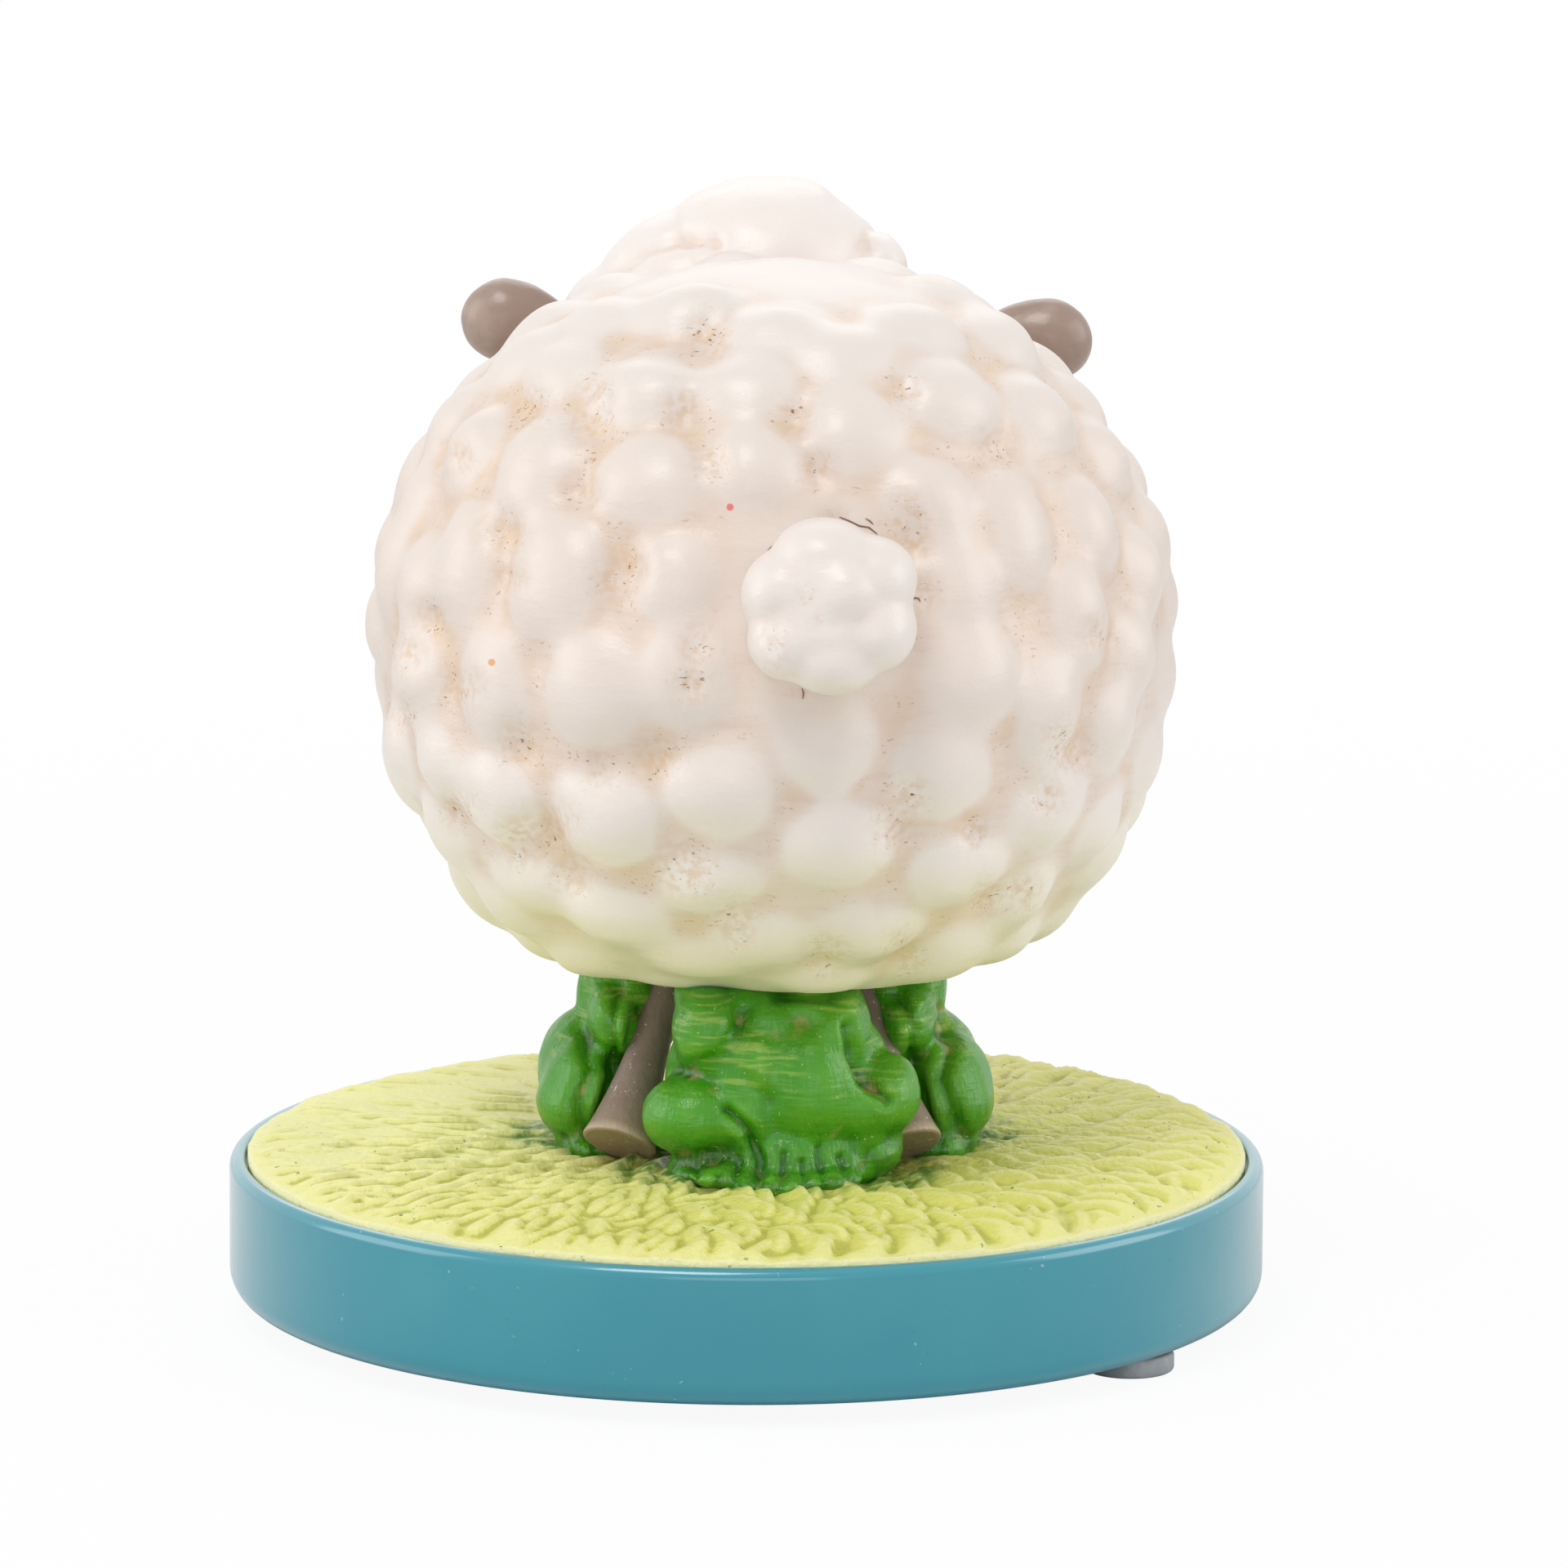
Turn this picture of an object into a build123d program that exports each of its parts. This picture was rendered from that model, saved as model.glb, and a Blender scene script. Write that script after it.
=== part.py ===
from build123d import *
import itertools
import math
import os

# Sheep figurine of painted cast resin, on a round painted plinth with a grass inlay.
# Millimetres, +Z up. The sheep looks along -Y and its left side is +X. The origin lies
# under the plinth's centre, on the surface that the foot pads stand on.

# Foot pads, stuck on by hand, so their angles round the plinth are uneven
pad_diameter = 9.0
pad_height = 2.0
pad_inset = 5.95
pad_angles = {"front_left": 352.0, "rear_right": 145.0, "front_right": 245.0}

# Plinth, with a recess in its top that takes the grass inlay
plinth_diameter = 104.9
plinth_height = 13.9
plinth_top_chamfer = 0.7
plinth_bottom_round = 2.3
plinth_bottom_facets = 2
plinth_rim_width = 1.6
recess_depth = 1.6

# Grass inlay: flat, with a margin that slopes down to the plinth's rim
turf_gap = 0.25
turf_edge_height = 2.4
turf_crown_rise = 0.9
turf_margin = 5.0

# Clearances of the glued seats and the screws, and the overrun of every cut
glue_gap = 0.2
screw_gap = 0.12
overrun = 4.0

# Fleece body: a ball of tufts, flattened below where it rests on the bushes
body_x = -2.4
body_y = -4.0
body_radius = 39.3
belly_depth = 32.5
belly_edge_round = 5.0
bush_height = 18.1
tuft_height = 1.35
tufts_per_edge = 4
facets_per_tuft = 3
tuft_width_share = 0.6
tuft_uneven_share = 0.3
tuft_drift_share = 0.035
tuft_drift_waves = 5.0

# Tail: a pom of lobes round a middle, flat behind, with a spigot glued into the body
tail_radius = 8.7
tail_side_offset = -5.7
tail_rise = 10.5
tail_stand_off = 4.2
tail_seat_depth = 0.8
tail_depth_share = 0.8
tail_lobes = 7
tail_lobe_share = 0.42
tail_ring_share = 0.6
tail_front_lobe_shares = ((0.0, 0.0, 0.0, 0.8), (0.2, 0.22, 0.5, 0.45), (-0.24, -0.1, 0.48, 0.42))
tail_facets = 5
tail_spigot_diameter = 5.0
tail_spigot_length = 6.0

# Head: skull and muzzle in one casting, flat behind, where it is glued to the fleece
head_side_offset = -0.2
head_pitch = 39.6
skull_sink = 0.4
skull_radius = 13.0
muzzle_radius = 8.6
muzzle_reach = 9.2
muzzle_drop = 10.4
muzzle_steps = 3
head_facets = 6
neck_seat_depth = 3.3
neck_spigot_diameter = 12.0
neck_spigot_length = 7.0

# Wool cap: a topknot over the skull, on the same flat; lobes are shares of its radius
cap_back = 4.0
cap_rise = 3.2
cap_cover = 2.4
cap_lobe_shares = (
    (0.0, 0.0, 0.0, 1.0),
    (0.62, 0.1, 0.0, 0.7),
    (0.88, 0.1, -0.16, 0.5),
    (-0.5, 0.05, 0.22, 0.52),
    (-0.42, 0.1, -0.2, 0.62),
    (0.3, -0.45, 0.12, 0.62),
    (-0.3, -0.48, 0.16, 0.58),
)
cap_facets = 5

# Ears: round at the tip and narrow at the root, the left one a little higher
ear_tip_radius = 4.2
ear_root_radius = 1.7
ear_reach = 27.9
ear_root_reach = 10.5
ear_back = 4.0
ear_rise = 2.9
ear_tilt_rise = 0.9
ear_droop = 0.5
ear_swell_power = 3.5
ear_stations = 4
ear_tip_share = 0.3
ear_sides = 10

# Legs: thin shanks that flare to a flat-ended hoof, four alike
leg_side_offset = 0.8
leg_top_spread = 6.6
leg_top_stride = 4.6
leg_foot_spread = 14.6
leg_foot_stride = 15.0
leg_foot_clearance = 0.8
leg_top_radius = 2.0
hoof_radius = 3.6
hoof_edge_chamfer = 0.45
leg_stations = 4
leg_sides = 10
leg_tenon_diameter = 3.0
leg_tenon_length = 3.0

# Bushes: lumps of leaf that carry the body; lobes are shares of each half size
rear_bush_x = -3.3
rear_bush_y = 14.0
rear_bush_width = 28.4
rear_bush_depth = 17.0
rear_bush_facets = 6
rear_bush_lobe_shares = (
    (0.0, 0.0, 0.0, 0.74),
    (0.55, 0.1, -0.4, 0.5),
    (-0.58, 0.1, -0.2, 0.48),
    (0.45, 0.15, 0.6, 0.46),
    (-0.3, 0.15, 0.65, 0.46),
    (0.05, 0.42, -0.5, 0.52),
    (-0.5, 0.0, -0.65, 0.44),
    (0.1, 0.48, 0.1, 0.5),
)
side_bush_width = 15.6
side_bush_depth = 21.0
left_bush_x = 14.0
right_bush_x = -17.0
side_bush_y = -2.0
side_bush_facets = 5
side_bush_lobe_shares = (
    (0.0, 0.0, 0.0, 0.72),
    (0.45, 0.35, -0.4, 0.52),
    (0.45, -0.35, -0.25, 0.52),
    (0.1, 0.45, 0.55, 0.5),
    (0.15, -0.45, 0.5, 0.5),
    (-0.3, 0.3, -0.5, 0.55),
    (-0.3, -0.35, -0.55, 0.5),
)

# Long screws that clamp plinth, grass, side bushes and body together from below
screw_diameter = 3.0
screw_length = 37.0
screw_head_diameter = 6.0
screw_head_height = 2.2
screw_slot_width = 0.9
screw_slot_depth = 1.1
screw_bore_depth = 4.5

# Heights and places that the sizes above give
plinth_top = pad_height + plinth_height
pad_circle_radius = plinth_diameter / 2 - pad_inset
recess_floor = plinth_top - recess_depth
recess_radius = plinth_diameter / 2 - plinth_rim_width
turf_radius = recess_radius - turf_gap
turf_top = recess_floor + turf_edge_height + turf_crown_rise
belly_level = turf_top + bush_height
body_centre = Vector(body_x, body_y, belly_level + belly_depth)
head_outward = Vector(0, -1, 0).rotate(Axis.X, -head_pitch)
skull_centre = (
    body_centre + head_outward * (body_radius - skull_sink) + Vector(head_side_offset, 0, 0)
)
neck_seat = Plane(
    origin=body_centre + head_outward * (body_radius - neck_seat_depth), z_dir=head_outward
)
cap_radius = skull_radius + cap_cover
cap_centre = skull_centre + Vector(0, cap_back, cap_rise)
tail_outward = Vector(
    tail_side_offset,
    math.sqrt(body_radius**2 - tail_side_offset**2 - tail_rise**2),
    tail_rise,
)
tail_root = Plane(origin=body_centre + tail_outward, z_dir=tail_outward)
tail_seat = tail_root.offset(-tail_seat_depth)
tail_centre = tail_root.offset(tail_stand_off)
side_bush_places = {
    "left": Vector(left_bush_x, side_bush_y, turf_top + bush_height / 2),
    "right": Vector(right_bush_x, side_bush_y, turf_top + bush_height / 2),
}
rear_bush_place = Vector(rear_bush_x, rear_bush_y, turf_top + bush_height / 2)
screw_seat = pad_height + screw_bore_depth


# Faceted sculpted forms

def geodesic(frequency):
    """Unit directions and triangles of an icosahedron with every edge cut into equal runs."""
    golden = (1 + math.sqrt(5)) / 2
    corners = []
    for one, long in itertools.product((-1, 1), (-golden, golden)):
        corners += [Vector(0, one, long), Vector(one, long, 0), Vector(long, 0, one)]
    edge = min((a - b).length for a, b in itertools.combinations(corners, 2))
    directions = []
    triangles = []
    numbers = {}

    def number(point):
        key = tuple(round(share, 6) + 0.0 for share in point)
        if key not in numbers:
            numbers[key] = len(directions)
            directions.append(point.normalized())
        return numbers[key]

    for a, b, c in itertools.combinations(corners, 3):
        if max((a - b).length, (b - c).length, (c - a).length) > 1.1 * edge:
            continue
        if a.cross(b).dot(c) < 0:
            b, c = c, b
        grid = {}
        for i in range(frequency + 1):
            for j in range(frequency + 1 - i):
                rest = frequency - i - j
                grid[i, j] = number((b * i + c * j + a * rest) / frequency)
        for i, j in grid:
            if i + j < frequency:
                triangles.append((grid[i, j], grid[i + 1, j], grid[i, j + 1]))
            if i + j < frequency - 1:
                triangles.append((grid[i + 1, j], grid[i + 1, j + 1], grid[i, j + 1]))
    return directions, triangles


def faceted_solid(points, triangles):
    """Closed solid with one flat face for each triangle."""
    faces = [Face(Wire.make_polygon([points[n] for n in corner])) for corner in triangles]
    return Solid(Shell(faces))


def lobe_reach(direction, lobes):
    """How far out the outermost lobe goes in a direction; lobes are x, y, z and radius."""
    reach = 0
    for x, y, z, radius in lobes:
        centre = Vector(x, y, z)
        along = centre.dot(direction)
        inside = radius**2 - (centre.length**2 - along**2)
        if inside > 0:
            reach = max(reach, along + math.sqrt(inside))
    return reach


def lobed_solid(half_sizes, lobes, frequency, grow=0, floor=None, ceiling=None):
    """Lump of round lobes about the origin, cut flat at a floor and a ceiling if given.

    The lobes are shares of the three half sizes. Grown by a clearance, it cuts a seat.
    """
    directions, triangles = geodesic(frequency)
    points = []
    for direction in directions:
        reach = lobe_reach(direction, lobes)
        point = Vector(*(share * reach * half for share, half in zip(direction, half_sizes)))
        point += point.normalized() * grow
        if floor is not None and point.Z < floor:
            point *= floor / point.Z
        if ceiling is not None and point.Z > ceiling:
            point *= ceiling / point.Z
        points.append(point)
    return faceted_solid(points, triangles)


def faceted_turning(plane, stations, sides):
    """Many-sided turned form; stations are heights along the plane's axis and radii."""
    points = [plane.from_local_coords(Vector(0, 0, stations[0][0]))]
    triangles = []
    for height, radius in stations:
        for side in range(sides):
            turn = 2 * math.pi * side / sides
            rim = Vector(radius * math.cos(turn), radius * math.sin(turn), height)
            points.append(plane.from_local_coords(rim))
    points.append(plane.from_local_coords(Vector(0, 0, stations[-1][0])))
    last = len(points) - 1
    for side in range(sides):
        here = side + 1
        after = (side + 1) % sides + 1
        triangles.append((0, after, here))
        for ring in range(len(stations) - 1):
            low = ring * sides
            triangles.append((low + here, low + after, low + sides + after))
            triangles.append((low + here, low + sides + after, low + sides + here))
        top = last - 1 - sides
        triangles.append((last, top + here, top + after))
    return faceted_solid(points, triangles)


def soft_lesser(first, second, blend):
    """Lesser of two lengths, rounded over where they are nearly alike."""
    near = max(blend - abs(first - second), 0)
    return min(first, second) - near**2 / (4 * blend)


def bore(plane, diameter, depth, gap=0):
    """Round cutter that goes in from a plane against its axis, and stands out in front of it."""
    cutter = Cylinder(
        diameter / 2 + gap, depth + gap + overrun, align=(Align.CENTER, Align.CENTER, Align.MAX)
    )
    return plane.offset(overrun) * cutter


def spigot(plane, diameter, length):
    """Round peg that goes in from a plane against its axis, with its root inside the piece."""
    peg = Cylinder(diameter / 2, length + overrun, align=(Align.CENTER, Align.CENTER, Align.MAX))
    return plane.offset(overrun) * peg


# Plinth, pads and grass

def make_plinth():
    """Turned disc with a recess; its lower edge is a round cut as a few narrow cones."""
    radius = plinth_diameter / 2
    outline = [(0, recess_floor), (0, pad_height)]
    for step in range(plinth_bottom_facets + 1):
        turn = step / plinth_bottom_facets * math.pi / 2
        out = radius - plinth_bottom_round * (1 - math.sin(turn))
        outline.append((out, pad_height + plinth_bottom_round * (1 - math.cos(turn))))
    outline += [
        (radius, plinth_top - plinth_top_chamfer),
        (radius - plinth_top_chamfer, plinth_top),
        (recess_radius, plinth_top),
        (recess_radius, recess_floor),
    ]
    disc = revolve(Plane.XZ * make_face(Polyline(*outline, close=True)), Axis.Z)
    cuts = []
    for place in side_bush_places.values():
        seat = Plane(origin=(place.X, place.Y, pad_height), z_dir=(0, 0, -1))
        cuts.append(bore(seat, screw_head_diameter, screw_bore_depth - screw_gap, screw_gap))
        cuts.append(bore(seat, screw_diameter, plinth_height, screw_gap))
    return disc - cuts


def make_foot_pad(angle):
    turned = Rot(0, 0, angle) * Pos(pad_circle_radius, 0, 0)
    return turned * Cylinder(
        pad_diameter / 2, pad_height, align=(Align.CENTER, Align.CENTER, Align.MIN)
    )


def make_turf():
    edge_top = recess_floor + turf_edge_height
    outline = Polyline(
        (0, recess_floor),
        (turf_radius, recess_floor),
        (turf_radius, edge_top),
        (turf_radius - turf_margin, turf_top),
        (0, turf_top),
        close=True,
    )
    disc = revolve(Plane.XZ * make_face(outline), Axis.Z)
    cuts = []
    for place in side_bush_places.values():
        seat = Plane(origin=(place.X, place.Y, turf_top))
        through = turf_top - recess_floor + overrun
        cuts.append(bore(seat, screw_diameter, through, screw_gap))
    return disc - cuts


# Legs

def leg_plane(side, end):
    """Plane at a hoof's flat end, with its axis up the leg; side is +1 left, end is +1 rear."""
    foot = Vector(
        body_x + leg_side_offset + side * leg_foot_spread,
        body_y + end * leg_foot_stride,
        turf_top + leg_foot_clearance + hoof_radius / 2,
    )
    top = Vector(
        body_x + leg_side_offset + side * leg_top_spread, body_y + end * leg_top_stride, belly_level
    )
    return Plane(origin=foot, z_dir=top - foot), (top - foot).length


def make_leg(side, end, grow=0):
    """Shank that flares to its hoof, with a thinner tenon on top; grown, it cuts its seat."""
    plane, length = leg_plane(side, end)
    stations = [(-grow, hoof_radius - hoof_edge_chamfer + grow)]
    for step in range(leg_stations + 1):
        share = step / leg_stations
        height = hoof_edge_chamfer + share * (length - hoof_edge_chamfer)
        radius = leg_top_radius + (hoof_radius - leg_top_radius) * (1 - share) ** 2
        stations.append((height, radius + grow))
    stations.append((length + grow, leg_tenon_diameter / 2 + grow))
    stations.append((length + leg_tenon_length + grow, leg_tenon_diameter / 2 + grow))
    return faceted_turning(plane, stations, leg_sides)


def leg_seats(ends):
    """Cutters for the legs at the ends given, +1 rear and -1 front, on both sides."""
    return [make_leg(side, end, glue_gap) for side, end in itertools.product((1, -1), ends)]


# Head, cap, ears and tail

def head_lobes():
    """Skull and muzzle with steps between them, as shares of the skull's radius."""
    lobes = []
    for step in range(muzzle_steps + 1):
        share = step / muzzle_steps
        radius = skull_radius + (muzzle_radius - skull_radius) * share
        lobes.append(
            (
                0,
                -muzzle_reach * share / skull_radius,
                -muzzle_drop * share / skull_radius,
                radius / skull_radius,
            )
        )
    return lobes


def head_form(grow=0):
    half_sizes = (skull_radius,) * 3
    return Pos(skull_centre) * lobed_solid(half_sizes, head_lobes(), head_facets, grow)


def cap_form():
    return Pos(cap_centre) * lobed_solid((cap_radius,) * 3, cap_lobe_shares, cap_facets)


def outside_neck(form):
    """What of a form lies outside the flat where the head is glued on."""
    return split(form, bisect_by=neck_seat, keep=Keep.TOP)


def ear_form(side, grow=0):
    height = ear_rise + side * ear_tilt_rise
    root = skull_centre + Vector(side * ear_root_reach, ear_back, height + ear_droop)
    tip = skull_centre + Vector(side * ear_reach, ear_back, height)
    length = (tip - root).length
    stations = []
    for step in range(ear_stations):
        share = step / ear_stations
        swell = share**ear_swell_power
        radius = ear_root_radius + (ear_tip_radius - ear_root_radius) * swell
        stations.append((share * length, radius))
    for step in range(ear_stations):
        turn = step / ear_stations * math.pi / 2
        stations.append((length + ear_tip_radius * math.sin(turn), ear_tip_radius * math.cos(turn)))
    stations.append((length + ear_tip_radius, ear_tip_radius * ear_tip_share / ear_stations))
    grown = [(at + grow * at / length - grow * (1 - at / length), radius + grow) for at, radius in stations]
    return faceted_turning(Plane(origin=root, z_dir=tip - root), grown, ear_sides)


def ear_seats():
    return [ear_form(side, glue_gap) for side in (1, -1)]


def make_head():
    casting = outside_neck(head_form() - ear_seats())
    return casting + spigot(neck_seat, neck_spigot_diameter, neck_spigot_length)


def make_cap():
    return outside_neck(cap_form() - [head_form(glue_gap), *ear_seats()])


def make_tail():
    """Ring of lobes round the front ones, flat where it meets the fleece."""
    lobes = list(tail_front_lobe_shares)
    for step in range(tail_lobes):
        turn = 2 * math.pi * step / tail_lobes
        across = tail_ring_share * math.cos(turn)
        up = tail_ring_share * math.sin(turn)
        lobes.append((across, up, 0, tail_lobe_share))
    half_sizes = (tail_radius, tail_radius, tail_radius * tail_depth_share)
    back = -tail_stand_off - tail_seat_depth
    pom = tail_centre * lobed_solid(half_sizes, lobes, tail_facets, floor=back)
    return pom + spigot(tail_seat, tail_spigot_diameter, tail_spigot_length)


# Body

def tuft_swell(direction, centres, pitch):
    """How far the nearest tuft stands out in a direction."""
    nearest = max(range(len(centres)), key=lambda n: centres[n].dot(direction))
    angle = math.acos(min(1, centres[nearest].dot(direction)))
    reach = min(angle / (tuft_width_share * pitch), 1)
    uneven = 1 + tuft_uneven_share * math.sin(nearest * nearest)
    return tuft_height * uneven * math.cos(reach * math.pi / 2)


def drifted(direction):
    """Direction moved a little sideways, so that the tufts lie as a hand would set them."""
    waves = [math.sin(tuft_drift_waves * share + place) for place, share in enumerate(direction)]
    return (direction + Vector(waves[1], waves[2], waves[0]) * tuft_drift_share).normalized()


def fleece_ball():
    """Ball of tufts, each a mound of flat facets, with a flat belly that rounds into its sides."""
    centres, _ = geodesic(tufts_per_edge)
    directions, triangles = geodesic(tufts_per_edge * facets_per_tuft)
    pitch = min(centres[0].get_angle(other) for other in centres[1:])
    points = []
    for direction in directions:
        reach = body_radius + tuft_swell(direction, centres, math.radians(pitch))
        outward = drifted(direction)
        if outward.Z < 0:
            reach = soft_lesser(reach, belly_depth / -outward.Z, belly_edge_round)
        points.append(outward * reach)
    return Pos(body_centre) * faceted_solid(points, triangles)


def main_piece(shape):
    """Largest solid that a cut leaves, without thin offcuts beside a seat."""
    return max(shape.solids(), key=lambda solid: solid.volume)


def make_body():
    """Tufted ball with a flat for the head and sockets for all that is glued into it."""
    ball = split(fleece_ball(), bisect_by=neck_seat, keep=Keep.BOTTOM)
    cuts = [
        *ear_seats(),
        *leg_seats((1, -1)),
        bore(neck_seat, neck_spigot_diameter, neck_spigot_length, glue_gap),
        bore(tail_seat, 2 * tail_radius, 0, glue_gap),
        bore(tail_seat, tail_spigot_diameter, tail_spigot_length, glue_gap),
    ]
    for place in side_bush_places.values():
        seat = Plane(origin=(place.X, place.Y, screw_seat), z_dir=(0, 0, -1))
        cuts.append(bore(seat, screw_diameter, screw_length, screw_gap))
    return main_piece(ball - cuts)


# Bushes and what holds them

def bush_lump(place, width, depth, lobes, frequency):
    half = bush_height / 2
    half_sizes = (width / 2, depth / 2, half)
    return Pos(place) * lobed_solid(half_sizes, lobes, frequency, floor=-half, ceiling=half)


def make_rear_bush():
    lump = bush_lump(
        rear_bush_place, rear_bush_width, rear_bush_depth, rear_bush_lobe_shares, rear_bush_facets
    )
    return lump - leg_seats((1,))


def make_side_bush(side):
    place = side_bush_places[side]
    sense = 1 if side == "left" else -1
    lobes = [(sense * x, y, z, radius) for x, y, z, radius in side_bush_lobe_shares]
    lump = bush_lump(place, side_bush_width, side_bush_depth, lobes, side_bush_facets)
    seat = Plane(origin=(place.X, place.Y, screw_seat), z_dir=(0, 0, -1))
    return lump - [bore(seat, screw_diameter, screw_length, screw_gap), *leg_seats((1, -1))]


def make_screw(place):
    """Cheese-head screw with a slot, its head in the plinth's counterbore."""
    seat = Plane(origin=(place.X, place.Y, screw_seat))
    head = Cylinder(
        screw_head_diameter / 2, screw_head_height, align=(Align.CENTER, Align.CENTER, Align.MAX)
    )
    shank = Cylinder(screw_diameter / 2, screw_length, align=(Align.CENTER, Align.CENTER, Align.MIN))
    slot = Pos(0, 0, -screw_head_height) * Box(
        screw_head_diameter + overrun, screw_slot_width, 2 * screw_slot_depth
    )
    return seat * (head + shank - slot)


def parts():
    """Every node of the figurine by name."""
    yield "plinth", make_plinth()
    for name, angle in pad_angles.items():
        yield f"foot_pad_{name}", make_foot_pad(angle)
    yield "turf_disc", make_turf()
    yield "bush_rear", make_rear_bush()
    for side, place in side_bush_places.items():
        yield f"bush_{side}", make_side_bush(side)
    yield "base_screws", Compound([make_screw(place) for place in side_bush_places.values()])
    for (end_name, end), (side_name, side) in itertools.product(
        {"rear": 1, "front": -1}.items(), {"left": 1, "right": -1}.items()
    ):
        yield f"leg_{end_name}_{side_name}", make_leg(side, end)
    yield "fleece_body", make_body()
    yield "tail", make_tail()
    yield "head", make_head()
    yield "wool_cap", make_cap()
    for side_name, side in {"left": 1, "right": -1}.items():
        yield f"ear_{side_name}", ear_form(side)


os.makedirs("parts", exist_ok=True)
for part_name, solid in parts():
    export_step(solid, f"parts/{part_name}.step")
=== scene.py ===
"""Sheep figurine of hand painted cast resin on a round plinth with a grass inlay.

The sheep looks along -Y, so the photograph, taken from +Y, shows its back and tail.
Sizes are in millimetres in the fields of the classes and in metres in the meshes.
"""

import logging
import math
from dataclasses import dataclass, field
from enum import Enum
from typing import Any, Iterable, Sequence

import bmesh
import bpy
import numpy as np
from bpy.types import Material, Mesh, Node, NodeSocket, NodeTree, Object
from mathutils import Matrix, Vector
from mathutils.bvhtree import BVHTree


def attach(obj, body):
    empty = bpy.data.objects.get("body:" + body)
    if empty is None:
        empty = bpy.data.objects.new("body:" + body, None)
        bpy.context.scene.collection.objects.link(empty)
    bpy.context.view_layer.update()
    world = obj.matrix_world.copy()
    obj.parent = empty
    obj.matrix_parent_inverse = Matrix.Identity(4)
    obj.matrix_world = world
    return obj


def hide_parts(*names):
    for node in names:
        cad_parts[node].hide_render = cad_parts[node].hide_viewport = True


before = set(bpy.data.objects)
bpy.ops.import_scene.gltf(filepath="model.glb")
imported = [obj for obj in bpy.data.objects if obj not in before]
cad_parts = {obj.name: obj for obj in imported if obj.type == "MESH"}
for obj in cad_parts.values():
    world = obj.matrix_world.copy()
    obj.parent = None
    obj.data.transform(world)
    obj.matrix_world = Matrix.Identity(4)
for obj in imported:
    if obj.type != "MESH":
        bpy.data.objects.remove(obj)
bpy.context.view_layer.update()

LOG = logging.getLogger("sheep")
MM = 0.001
BODY = "root"
PIT = "pit"
STAIN = "stain"
MATHS = "ShaderNodeMath"
VECTORS = "ShaderNodeVectorMath"
Numbers = Sequence[float]
LineSizes = tuple[int, float, float, float]
Pair = tuple[float, float]
Triple = tuple[float, float, float]
Tuft = tuple[Vector, Vector, Vector]


# Small tools

def linear(code: str) -> tuple[float, float, float, float]:
    """Turns an sRGB hex colour to linear.

    Args:
        code: six hex digits after a hash sign.

    Returns:
        Red, green, blue and an alpha of 1.
    """
    shares = [int(code[place : place + 2], 16) / 255 for place in (1, 3, 5)]
    red, green, blue = (
        share / 12.92 if share <= 0.04045 else ((share + 0.055) / 1.055) ** 2.4 for share in shares
    )
    return red, green, blue, 1.0


def add_node(tree: NodeTree, kind: str, inputs: dict[Any, Any] | None = None, **settings: Any) -> Node:
    """Adds a node with its settings, values and links.

    Args:
        tree: the node tree.
        kind: the node's type name.
        inputs: values, sockets, or nodes whose first output is meant, by input name or number.
        settings: the node's own properties.

    Returns:
        The node.
    """
    node = tree.nodes.new(kind)
    for name, value in settings.items():
        setattr(node, name, value)
    for key, value in (inputs or {}).items():
        if isinstance(value, Node):
            value = value.outputs[0]
        if isinstance(value, NodeSocket):
            tree.links.new(value, node.inputs[key])
        else:
            node.inputs[key].default_value = value
    return node


def add_object(name: str, mesh: Mesh, smooth: bool = True) -> Object:
    """Puts a mesh in the scene.

    Args:
        name: the piece's name.
        mesh: its mesh.
        smooth: True to shade its faces smooth.

    Returns:
        The object, at the origin.
    """
    mesh.polygons.foreach_set("use_smooth", [smooth] * len(mesh.polygons))
    piece = bpy.data.objects.new(name, mesh)
    bpy.context.scene.collection.objects.link(piece)
    return piece


def add_shape(name: str, points: Any, faces: Any, smooth: bool = True) -> Object:
    """Makes a piece of points in millimetres and faces.

    Args:
        name: the piece's name.
        points: rows of x, y and z.
        faces: rows of point numbers.
        smooth: True to shade its faces smooth.

    Returns:
        The object.
    """
    mesh = bpy.data.meshes.new(name)
    mesh.from_pydata([Vector(point) * MM for point in points], [], [list(face) for face in faces])
    shell = bmesh.new()
    shell.from_mesh(mesh)
    bmesh.ops.recalc_face_normals(shell, faces=shell.faces)
    shell.to_mesh(mesh)
    shell.free()
    return add_object(name, mesh, smooth)


def settle(piece: Object) -> None:
    """Makes what a piece's modifiers give its plain mesh.

    Args:
        piece: the piece, which keeps no modifiers.
    """
    graph = bpy.context.evaluated_depsgraph_get()
    graph.update()
    made = bpy.data.meshes.new_from_object(piece.evaluated_get(graph))
    before = piece.data
    piece.modifiers.clear()
    piece.data = made
    bpy.data.meshes.remove(before)


def discard(piece: Object) -> None:
    """Takes a helper object out of the scene."""
    bpy.data.objects.remove(piece, do_unlink=True)


def hand_over(piece: Object, slot: str, *nodes: str, paint: Material | None = None) -> None:
    """Attaches a piece to the root body and hides the imported parts that it replaces.

    Args:
        piece: the finished piece.
        slot: not used.
        nodes: the nodes that it replaces, if any.
        paint: its material, where it has none yet.
    """
    if paint:
        piece.data.materials.append(paint)
    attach(piece, BODY)
    if nodes:
        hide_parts(*nodes)
    LOG.info("%s: %d faces", piece.name, len(piece.data.polygons))


# The photograph's camera

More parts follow.
